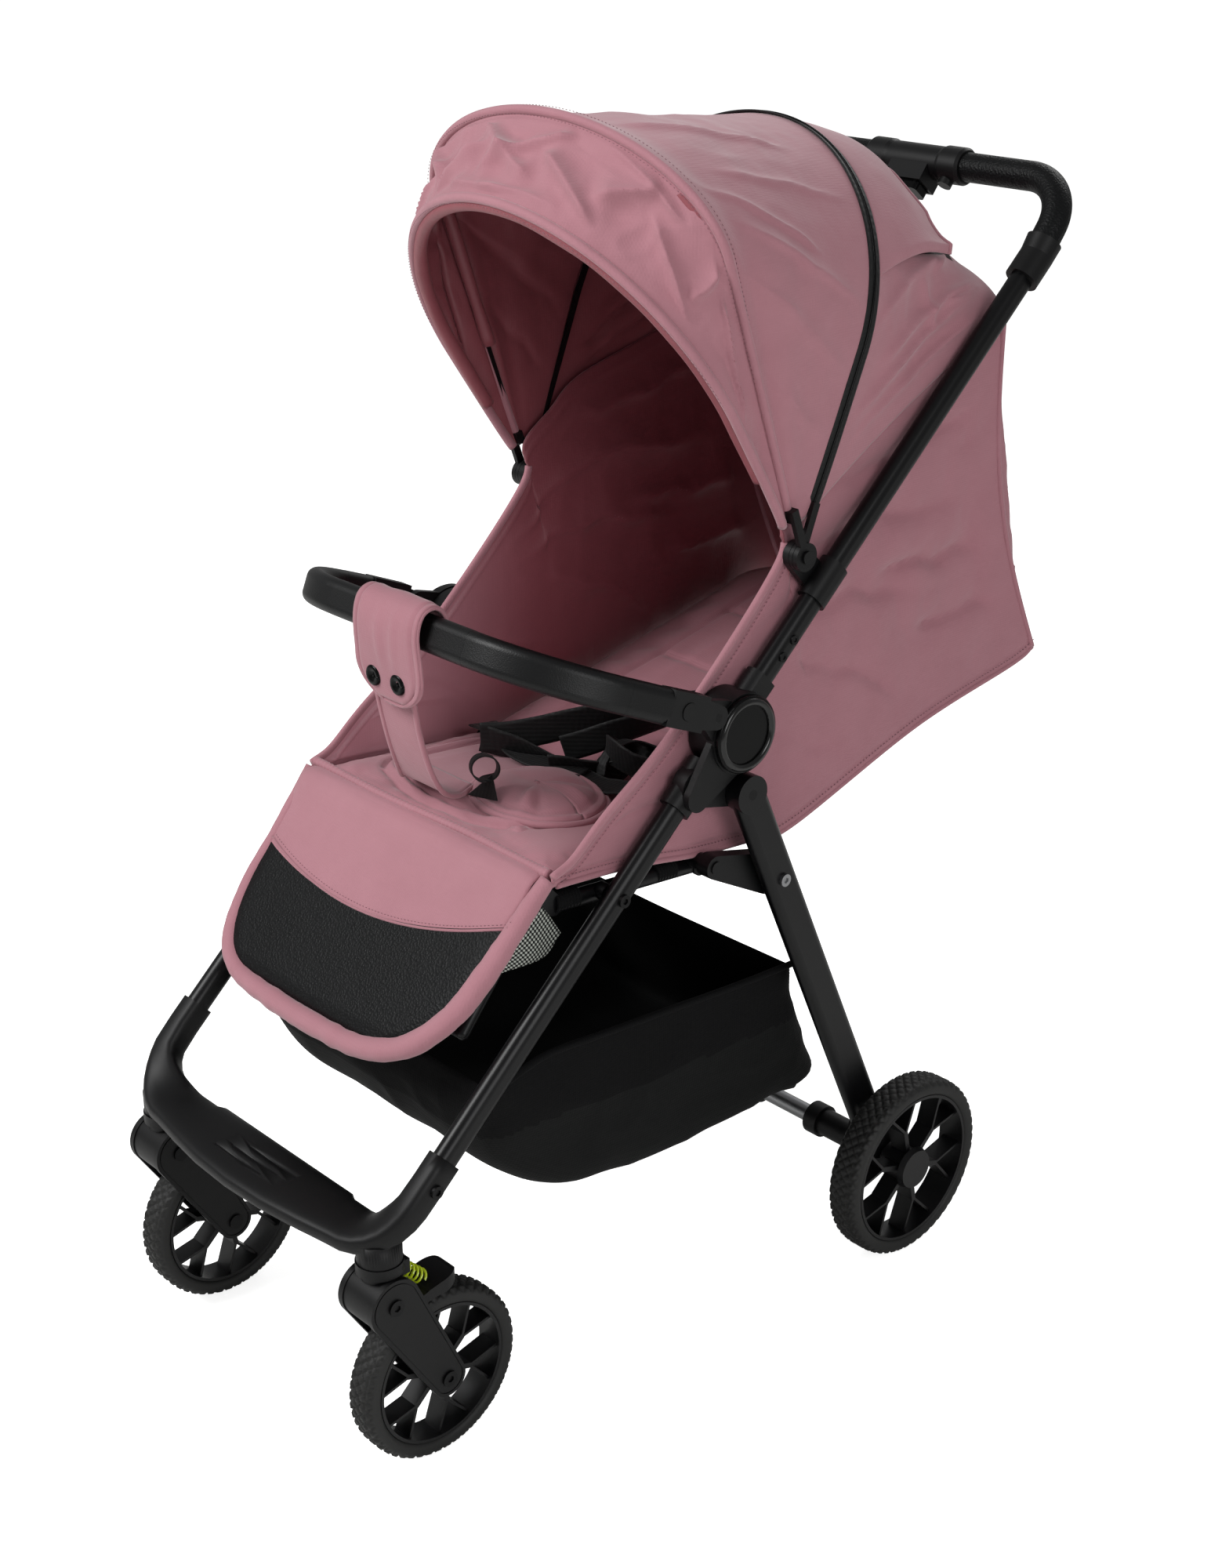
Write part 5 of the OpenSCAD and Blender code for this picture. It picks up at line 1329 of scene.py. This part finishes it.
# Each fold: its height, the angle and width of its ridge, and where it lies from middle to edge
FOLDS = (
    (5.0, 5.35, 0.12, 0.62, 0.25), (-4.0, 5.62, 0.1, 0.6, 0.25),
    (4.5, 0.35, 0.14, 0.55, 0.3), (-4.5, 1.15, 0.2, 0.6, 0.3),
)
for height, angle, width, out, deep in FOLDS:
    high = high + height * bump_at(theta, angle, width) * bump_at(rho, out, deep)
high = high + 3.2 * bump_at(rho, 0.94, 0.05) - 2.2 * bump_at(rho, 0.84, 0.04)
tongue_rows = on_seat(x, y, high)
wrinkle = 2.2 * hills_and_hollows(tongue_rows, 24, 91) * (1 - rho**4)
tongue_rows = tongue_rows + PAD_UP * wrinkle[..., None]
tongue = two_faced("crotch_pad", tongue_rows[:, ::-1], polyester, polyester_dark, "seat", 5.0)
edge = tongue_rows[-1, :-1] - PAD_UP * 1.4
cord_mesh("crotch_pad_edge", edge, 3.6, polyester, "seat", 12, closed=True)
print("crotch pad", round(float(np.ptp(x))), "by", round(float(np.ptp(y))), "mm")

# %% [markdown]
# A strap of the same cloth runs from the bumper's cover down to the tongue, bound along both
# edges.

# %% Crotch strap
STRAP_SPAN = "bumper", "chassis", in_frame((0, 116, 668)), in_frame((0, 140, 562))
# Each point: the strap's far and near edge in x, then y and z
strap_run = smooth_path([
    (-34, 18, 114, 676), (-34, 18, 117, 640), (-33, 17, 124, 600), (-36, 16, 135, 566),
    (-50, 11, 152, 540), (-76, 0, 178, 526), (-92, -14, 206, 522),
], 61)
t = np.linspace(0, 1, 17)[None]
x = mixed(strap_run[:, :1], strap_run[:, 1:2], t)
strap_rows = np.stack([x, strap_run[:, 2:3] + 0 * t, strap_run[:, 3:] + 0 * t], -1)
strap_rows = raised(strap_rows, 0.7 * hills_and_hollows(strap_rows, 30, 92))
crotch_strap = two_faced(
    "crotch_strap", strap_rows[:, ::-1], polyester_dark, polyester_dark, STRAP_SPAN, 2.6
)
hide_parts("bumper_cover")
for column, word in ((0, "far"), (-1, "near")):
    edge = strap_rows[:, column] + (0, 0.6, 0)
    cord_mesh("crotch_strap_binding_" + word, edge, 2.6, polyester, STRAP_SPAN)
print("crotch strap", cut(strap_rows))

# %% [markdown]
# ## Bumper cover
# The bumper's cover is a padded flap that wraps over the bar and snaps shut in front. Its edge
# is stitched 6 mm in, and the cloth between the stitches puffs. It is one profile over the bar,
# widened to the flap's outline, with the puff worked out from the distance to the edge.

# %% Bumper cover
COVER_HALF = 43.5
COVER_ROWS, COVER_COLUMNS = 73, 41
STITCH_IN = 6.2
profile = smooth_path([
    (131, 684), (137, 697), (136, 714), (130, 724), (121, 727), (111, 722), (105.5, 708), (105, 690),
    (106.5, 672), (108.5, 652), (110.5, 632),
], COVER_ROWS)
t = np.linspace(0, 1, COVER_ROWS)[:, None]
round_foot = 1 - np.sqrt(1 - np.clip((t - 0.765) / 0.2352, 0, 0.9999) ** 2)
half_w = COVER_HALF + 2.0 * np.clip((t - 0.5) * 2, 0, 1) - (COVER_HALF + 2) * round_foot
x = np.linspace(-1, 1, COVER_COLUMNS)[None] * half_w
cover_rows = np.stack([x, profile[:, :1] + 0 * x, profile[:, 1:] + 0 * x], -1)
inset = np.minimum(half_w - np.abs(x), np.where(t > 0.7, (1 - t) * 210, 99))
puff = 1.6 * np.clip(inset / 9, 0, 1) - 1.9 * bump_at(inset, STITCH_IN, 1.5)
puff += 1.9 * bump_at(x, -12 + 9 * t, 5) * bump_at(t, 0.62, 0.14)
puff += 1.6 * bump_at(x, 17 - 6 * t, 4.5) * bump_at(t, 0.6, 0.16)
cover_rows = raised(cover_rows, -puff - 0.8 * hills_and_hollows(cover_rows, 22, 93))
cover = two_faced("bumper_cover_flap", cover_rows, polyester, polyester_dark, "bumper", 2.4)
edge = np.concatenate([cover_rows[:, 0], cover_rows[-1, 1:-1], cover_rows[::-1, -1]])
cord_mesh("bumper_cover_edge", smooth_path(edge, 240), 1.7, polyester, "bumper")
print("bumper cover", cut(cover_rows))

# %% [markdown]
# The stitches follow the groove pressed for them, down one side, across the foot and up the
# other. Two snaps hold the flap: each a turned cap with a dished middle.

# %% Cover stitches and snaps
SNAP_Y, SNAP_Z = 106.0, 655
left_run, right_run = [], []
for j in range(8, 71):
    if half_w[j, 0] > 12:
        i = int(np.argmin(np.abs(half_w[j, 0] + x[j] - STITCH_IN)))
        left_run.append(cover_rows[j, i])
        right_run.append(cover_rows[j, COVER_COLUMNS - 1 - i])
foot_run = [cover_rows[68, i] for i in range(12, 29, 4)]
row = np.array(left_run + foot_run + right_run[::-1]) + (0, -0.4, 0)
stitches("bumper_cover_stitch", row, "bumper", 4.6)
turn = np.linspace(0, 2 * math.pi, 33)[None]
radius = np.array([0.01, 3.0, 5.0, 7.4, 8.6, 9.0, 9.0])[:, None]
ahead = np.array([1.0, 1.0, 2.6, 3.0, 2.2, 0.8, -0.6])[:, None]
for k, snap_x in enumerate((-20.0, 14.0)):
    x, z = snap_x + radius * np.cos(turn), SNAP_Z + radius * np.sin(turn)
    cap_rows = np.stack([x, SNAP_Y - ahead + 0 * turn, z], -1)
    two_faced(f"cover_snap_{k}", cap_rows, gloss_abs, gloss_abs, "bumper", 0.8)
print("snaps", round(2 * float(radius.max())), "mm across")

# %% [markdown]
# ## Harness
# Webbing is a flat woven band, 1.5 mm thick, too stiff to crumple: it bends one way and twists.
# A cloth simulation would let it fall where it likes, but here each strap lies in its own place
# in a heap. So each is a path with the direction of its width at each point.


# %% Webbing
BACK_SPAN = "seat", "back", in_frame((0, 322, 520)), in_frame((0, 384, 540))
OVER_BACK_Y = 360


def band(name, path, wide, width, count=70, thick=1.5):
    """A flat strap along a path; wide is its width's direction, given at each point of the path."""
    both = smooth_path(np.concatenate([np.array(path, float), np.array(wide, float) * 30], 1), count)
    tangent = unit(np.gradient(both[:, :3], axis=0))
    direction = both[:, 3:] / 30
    direction = unit(direction - tangent * (direction * tangent).sum(1, keepdims=True))
    rows = both[:, :3] + direction * (np.linspace(-0.5, 0.5, 9)[:, None, None] * width)
    rows = raised(rows, 0.5 * hills_and_hollows(rows, 20, len(name)))
    # A strap that runs on over the backrest is left where it lies; the others ride on the seat
    on = BACK_SPAN if path[-1][1] > OVER_BACK_Y else "seat"
    strap = two_faced(name, rows, webbing, webbing, on, thick)
    print(name, cut(rows)["flat"])


# %% [markdown]
# The shoulder straps come forward over the backrest and end in a heap by the buckle. The waist
# straps come in from both sides, and a thin adjuster strap loops over the heap.

# %% Harness straps
band("shoulder_strap_near_end", [
    (-76, 267, 535), (-60, 285, 536), (-38, 310, 542), (-14, 336, 551), (20, 375, 562), (56, 440, 574),
], [(0, 0, 1), (0, 0, 1), (0, -0.1, 1), (0, -0.2, 1), (0.3, -0.4, 0.9), (0.8, -0.2, 0.4)], 30)
band("shoulder_strap_fold", [
    (-77, 269, 534), (-62, 279, 530), (-44, 295, 524), (-22, 311, 519), (6, 328, 516), (40, 344, 514),
], [(0, 0, 1), (0, -0.2, 1), (0, -0.5, 0.8), (0, -0.8, 0.5), (0, -1, 0.2), (0, -1, 0.1)], 28)
band("shoulder_strap_second", [
    (-24, 325, 523), (-8, 341, 530), (12, 362, 541), (40, 400, 553), (70, 440, 560),
], [(0, 0, 1), (0, 0, 1), (0, -0.2, 1), (0.3, -0.5, 0.8), (0.7, -0.6, 0.3)], 27)
band("harness_tangle", [
    (-4, 290, 520), (14, 306, 522), (32, 324, 514), (50, 338, 522), (68, 352, 516), (96, 366, 514),
], [(0, -0.4, 0.9), (0, -0.7, 0.7), (0.1, -0.3, 1), (0, -0.8, 0.6), (0, -0.4, 0.9), (0, -0.8, 0.4)], 30)
band("waist_strap_far", [
    (-140, 322, 516), (-110, 314, 519), (-76, 300, 520), (-40, 292, 519), (0, 296, 521), (30, 306, 521),
], [(0.2, -1, 0.1), (0.1, -1, 0.2), (0, -1, 0.3), (0, -1, 0.1), (0, -1, 0), (0, -1, 0)], 30)
band("waist_strap_near", [
    (150, 322, 517), (128, 312, 522), (100, 306, 524), (74, 304, 521), (50, 300, 519), (24, 300, 520),
], [(0, -1, 0.3), (0.1, -1, 0.4), (0, -1, 0.2), (0, -1, -0.1), (0, -1, 0), (0, -1, 0)], 30)
band("shoulder_strap_heap", [
    (92, 352, 524), (70, 330, 534), (44, 326, 541), (24, 338, 533), (26, 360, 524), (52, 372, 524),
    (84, 362, 530),
], [
    (0.2, -0.4, 0.9), (0, -0.3, 1), (0, 0, 1), (0.5, 0, 0.9), (0.6, 0.3, 0.7), (0.2, 0.8, 0.4),
    (0, 0.8, 0.5),
], 28)
band("adjuster_strap", [
    (40, 316, 518), (37, 322, 530), (36, 336, 540), (38, 356, 541), (46, 378, 530), (66, 392, 524),
], [(1, 0, 0.1), (1, 0.1, 0.1), (1, 0.1, 0), (0.9, 0.3, 0), (0.9, 0.2, 0.1), (0.8, 0.3, 0.1)],
    11, 50, 1.2)

# %% [markdown]
# A ring of tape stands on a stitched corner of the same tape, on top of the tongue. Parents pull
# it to fold the seat. The ring is one more band, bent nearly full circle, and the corner is a
# small three-sided plate, divided so that the shading stays even.

# %% Webbing ring and tab
ACROSS, AHEAD = np.array([0.67, 0.74, 0]), np.array([0.74, -0.67, 0])
RING_AT, RING_R = np.array([19, 194, 555]), 13.0
TAB_CORNERS = np.array([(1, 189, 524), (39, 192, 529), (25, 198, 549)])
ring = [
    RING_AT + RING_R * (ACROSS * math.cos(q) + np.array([0, 0, 1]) * math.sin(q)) + AHEAD * q * 0.6
    for q in np.radians(np.arange(-100, 281, 38))
]
band("webbing_loop", ring, [AHEAD + (0.1, 0.25, 0.1)] * len(ring), 11, 60, 1.3)
bm = bmesh.new()
corners = [bm.verts.new(p) for p in in_frame([*(TAB_CORNERS + AHEAD), *(TAB_CORNERS - AHEAD)])]
bm.faces.new(corners[:3])
bm.faces.new(corners[3:][::-1])
for i, k in ((0, 1), (1, 2), (2, 0)):
    bm.faces.new((corners[i], corners[i + 3], corners[k + 3], corners[k]))
bmesh.ops.recalc_face_normals(bm, faces=bm.faces)
bmesh.ops.subdivide_edges(bm, edges=bm.edges, cuts=4, use_grid_fill=True)
tab_mesh = bpy.data.meshes.new("webbing_tab")
bm.to_mesh(tab_mesh)
bm.free()
tab_mesh.materials.append(webbing)
tab = bpy.data.objects.new("webbing_tab", tab_mesh)
scene.collection.objects.link(tab)
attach(tab, "seat")
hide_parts("harness")
print("tab", len(tab_mesh.polygons), "faces")

# %% [markdown]
# ## Basket
# The basket is a tub of close-knit net with a band of plain cloth round its rim. It hangs from
# the front legs and sags a little in the middle. Each row is one cut across the tub, from rim to
# rim, so its two long curves, the rim and the floor seen from the side, shape all of it.

# %% Basket
TUB_ROWS = 121
RIM_X = 176
BAND_DEEP = 64
floor_line = smooth_path([
    (68, 337), (62, 300), (88, 246), (150, 197), (246, 171), (340, 166), (434, 166), (500, 173),
    (486, 220), (436, 330),
], TUB_ROWS)
rim_line = smooth_path([
    (68, 338), (84, 343), (104, 348), (134, 352), (200, 347), (270, 342), (350, 336), (405, 333),
    (430, 332), (435, 332),
], TUB_ROWS)


def tub_row(low, top):
    """One cut across the tub, from its floor's and its rim's [y, z] points."""
    floor_x = mixed(170, 150, np.clip((top[1] - low[1]) / 60, 0, 1))
    hips = [(RIM_X, 0, 0), (RIM_X - 0.8, 0.45, 0.4), (mixed(RIM_X, floor_x, 0.6), 0.85, 0.85)]
    left = [(x, mixed(top[0], low[0], p), mixed(top[1], low[1], q)) for x, p, q in hips]
    base = [(floor_x * share, low[0], low[1] - drop)
            for share, drop in ((0.9, 0), (0.5, 1), (0, 2), (-0.5, 1), (-0.9, 0))]
    return smooth_path(left + base + [(-x, y, z) for x, y, z in left[::-1]], TUB_ROWS)


rows = np.array([tub_row(low, top) for low, top in zip(floor_line, rim_line)])
sag = hills_and_hollows(rows * (1, 0.7, 1), 60, 101) * 2.6 + creases(rows, 44, 102) * 1.4
from_end = np.minimum(np.arange(TUB_ROWS), TUB_ROWS - 1 - np.arange(TUB_ROWS))
keep = np.clip(from_end / 14, 0, 1)[None] * np.clip(from_end / 8, 0, 1)[:, None]
rows = raised(rows, sag * keep)
in_band = rim_line[:, 1][:, None] - rows[..., 2] < BAND_DEEP
pick = np.where(in_band[:-1, :-1] | in_band[1:, 1:], 0, 2)
tub = two_faced("basket_tub", rows, [black_cloth, knit], knit, "chassis", pick=pick)
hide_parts("basket")
for word, path in (("left", rows[:, 0]), ("right", rows[:, -1])):
    cord_mesh("basket_rim_" + word, path, 3.4, black_cloth, "chassis")
print("basket", cut(rows))

# %% [markdown]
# A gusset of pale net closes the corner between the seat's front and the basket on each side. It
# is pulled nearly flat between its two curved edges.

# %% Net gussets
GUSSET_X = 165
upper = smooth_path([(99, 466), (112, 478), (133, 493)], 21)
lower = smooth_path([(86, 441), (112, 440), (139, 441), (156, 456)], 21)
grid = mixed(upper[None], lower[None], np.linspace(0, 1, 15)[:, None, None])
out = GUSSET_X + 3 * hills_and_hollows(np.dstack([grid, 0 * grid[..., :1]]), 30, 111)
for side, word in ((1, "left"), (-1, "right")):
    rows = np.stack([side * out, grid[..., 0], grid[..., 1]], -1)
    gusset = two_faced("net_gusset_" + word, outward(rows), pale_net, pale_net, "chassis", 0.8)
    print(gusset.name, cut(rows)["flat"])

# %% [markdown]
# ## Crossbar
# The moulded crossbar keeps its CAD shape, but its CAD mesh has many small flat faces that catch
# the light one by one. A bevel or a remesh would change its shape, so this copy only has its
# doubled points joined and its soft edges shaded round. Edges over 35 degrees stay sharp.

# %% Crossbar
DOUBLED = 0.00002
crossbar_node = frame["nodes"]["front_crossbar"]
crossbar_mesh = crossbar_node.data.copy()
bm = bmesh.new()
bm.from_mesh(crossbar_mesh)
bmesh.ops.remove_doubles(bm, verts=bm.verts, dist=DOUBLED)
bm.to_mesh(crossbar_mesh)
bm.free()
crossbar_mesh.shade_smooth()
crossbar_mesh.set_sharp_from_angle(angle=math.radians(35))
crossbar = bpy.data.objects.new("crossbar_moulding", crossbar_mesh)
crossbar.matrix_world = crossbar_node.matrix_world.copy()
scene.collection.objects.link(crossbar)
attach(crossbar, "chassis")
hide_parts("front_crossbar")
print("crossbar", len(crossbar_mesh.vertices), "points")

# %% [markdown]
# ## Hub beads and elastic sleeves
# Each hub cap has a polished bead round it, which catches the light in two short arcs. A bead is
# a round rod bent to a circle, so it is the piping's sweep again, closed on itself.

# %% Hub beads
low, high = (from_frame(corner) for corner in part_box("hub_caps"))
hub_middle = (low + high) / 2
bead_r, bead_x = (high[2] - low[2]) / 2 - 5.5, high[0] - 1.6
turn = np.linspace(0, 2 * math.pi, 96, endpoint=False)
for side, word in ((1, "left"), (-1, "right")):
    y, z = hub_middle[1] + bead_r * np.cos(turn), hub_middle[2] + bead_r * np.sin(turn)
    around = np.stack([np.full(96, side * bead_x), y, z], -1)
    cord_mesh("hub_bead_" + word, around, 3.6, bead_polish, "chassis", 16, closed=True)
print("hub beads", round(2 * bead_r), "mm across")

# %% [markdown]
# Black elastic tubes are pulled over the seat's side rods, and gather in rings. Modelling each
# ring would be slow, so each sleeve is one sweep whose radius swells and shrinks along it.

# %% Elastic sleeves
ROD_X, GATHER_PITCH = 160.0, 3.6
for side, word in ((1, "left"), (-1, "right")):
    for k, (start_y, end_y) in enumerate(((150, 176), (268, 292))):
        y = np.linspace(start_y, end_y, 60)
        path = np.stack([np.full(60, side * ROD_X), y, 485.5 - 0.088 * (y - 150)], -1)
        ring = 9.0 + 0.5 * np.sin((y - start_y) * 2 * math.pi / GATHER_PITCH)
        cord_mesh(f"rod_sleeve_{word}_{k}", path, ring, black_cloth, "seat", 20)
print("pulled on four sleeves")

# %% [markdown]
# ## Tyres
# The tyres are foamed EVA, moulded with a diamond hatch tread. Two families of slanting grooves
# cross, 11 mm apart and 1.9 mm deep, with a plain groove round each shoulder. Bump would leave
# the tyre's outline smooth, so the grooves are real: the profile is turned round the axle in
# steps of 1.6 mm, and each point is sunk by the grooves it lies in.


# %% Tyres
TREAD_PITCH, TREAD_DEPTH = 11.0, 1.9
SHOULDER_R = 8.0
STEP = 1.6


def tyre_profile(outer, half):
    """The section as [radius, x] points, from one bead over the tread to the other."""
    bead = outer - 16
    shoulder = [(bead, -half + 3), (bead + 2, -half + 0.8), (bead + 4, -half)]
    middle_r, middle_x = outer - SHOULDER_R, -half + SHOULDER_R
    for q in np.linspace(0, math.pi / 2, 9):
        shoulder.append((middle_r + SHOULDER_R * math.sin(q), middle_x - SHOULDER_R * math.cos(q)))
    flat = [(outer, x) for x in np.linspace(middle_x, -middle_x, 17)[1:-1]]
    return np.array(shoulder + flat + [(r, -x) for r, x in shoulder[::-1]])


def tyre(name, node, body, wide):
    """A treaded tyre in the place of a CAD one."""
    low, high = (from_frame(corner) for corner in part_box(node))
    centre, outer, half = (low + high) / 2, (high[2] - low[2]) / 2, wide / 2
    section = tyre_profile(outer, half)
    r, x = section[None, :, 0], section[None, :, 1]
    around = int(2 * math.pi * outer / STEP)
    angle = np.arange(around)[:, None] / around * 2 * math.pi
    hatch = angle / (2 * math.pi) * round(2 * math.pi * outer / TREAD_PITCH)
    groove = np.zeros((around, len(section)))
    for lean in (1, -1):
        wave = np.abs((hatch + lean * x / TREAD_PITCH) % 1 - 0.5) * 2
        groove = np.maximum(groove, np.clip((wave - 0.66) / 0.2, 0, 1))
    for ring in (-half + 6.5, half - 6.5):
        groove = np.maximum(groove, ridge_at(x - ring, 0.8))
    r = r - TREAD_DEPTH * groove * np.clip((r - (outer - 6)) / 3, 0, 1)
    points = np.stack([x + 0 * r, r * np.cos(angle), r * np.sin(angle)], -1) + centre
    index = np.arange(r.size).reshape(r.shape)
    after = np.roll(index, -1, 0)
    faces = np.stack([index, np.roll(index, -1, 1), np.roll(after, -1, 1), after], -1)[..., ::-1]
    wheel = new_piece(name, points.reshape(-1, 3), faces.reshape(-1, 4), [eva_foam], body)
    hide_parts(node)
    print(name, round(2 * outer, 1), "mm across,", around, "steps")


for word in ("left", "right"):
    tyre("treaded_tyre_rear_" + word, "rear_tyre_" + word, "rear_wheel_" + word, 34)
    tyre("treaded_tyre_front_" + word, "front_tyre_" + word, "front_wheel_" + word, 32)

# %% [markdown]
# ## Light and floor
# Soft studio light: one broad lamp in front and to the left, a weaker one on the right, and a
# third behind. Small lamps would throw hard shadows that hide the black frame. The lamps' watts
# are low enough for each colour to show as it is written.

# %% Lamps
MIDDLE = (0, 0, 0.6)


def lamp(name, at, size, watts):
    """A broad lamp at a place in metres, aimed at the stroller's middle."""
    light = bpy.data.lights.new(name, "AREA")
    light.shape = "RECTANGLE"
    light.size, light.size_y = size
    light.energy = watts
    obj = bpy.data.objects.new(name, light)
    obj.location = at
    obj.rotation_euler = (Vector(MIDDLE) - Vector(at)).to_track_quat("-Z", "Y").to_euler()
    scene.collection.objects.link(obj)


lamp("key", (-1.0, -2.3, 2.7), (1.5, 1.5), 82)
lamp("fill", (2.8, -0.8, 1.6), (1.4, 1.8), 30)
lamp("rim", (-0.6, 2.4, 2.4), (1.6, 1.0), 20)
print("lit by", len(bpy.data.lights), "lamps")

# %% [markdown]
# The world is a weak white light that shows as full white to the camera and through the nets. The
# floor is pale paper, which glows a little to the camera alone, so that it shows white and still
# takes the stroller's shadow.

# %% World and floor
FLOOR_HALF, FLOOR_Z = 40.0, -0.0005
world = bpy.data.worlds.new("studio")
scene.world = world
world.use_nodes = True
tree = world.node_tree
rays = add(tree, "LightPath").outputs
seen = {0: rays["Is Camera Ray"], 1: rays["Is Transmission Ray"]}
seen = add(tree, "Math", seen, operation="MAXIMUM").outputs[0]
strength = add(tree, "MapRange", {"Value": seen, "To Min": 0.3, "To Max": 1.0}).outputs["Result"]
plug(tree, tree.nodes["Background"], {"Color": (1, 1, 1, 1), "Strength": strength})

floor_mesh = bpy.data.meshes.new("studio_floor")
corners = [(FLOOR_HALF * x, FLOOR_HALF * y, FLOOR_Z) for x, y in ((-1, -1), (1, -1), (1, 1), (-1, 1))]
floor_mesh.from_pydata(corners, [], [(0, 1, 2, 3)])
floor = bpy.data.objects.new("studio_floor", floor_mesh)
scene.collection.objects.link(floor)
paper, tree, shader, place = start("pale_paper", 0.9)
plug(tree, shader, {"Base Color": linear("#f4f4f2")})
rays = add(tree, "LightPath").outputs
glow = add(tree, "Emission", {"Color": (1, 1, 1, 1), "Strength": 0.8}).outputs[0]
both = add(tree, "AddShader", {0: shader.outputs[0], 1: glow}).outputs[0]
shown = {0: rays["Is Camera Ray"], 1: shader.outputs[0], 2: both}
surface = add(tree, "MixShader", shown).outputs[0]
plug(tree, tree.nodes["Material Output"], {"Surface": surface})
floor_mesh.materials.append(paper)
print("floor", 2 * FLOOR_HALF, "m square")
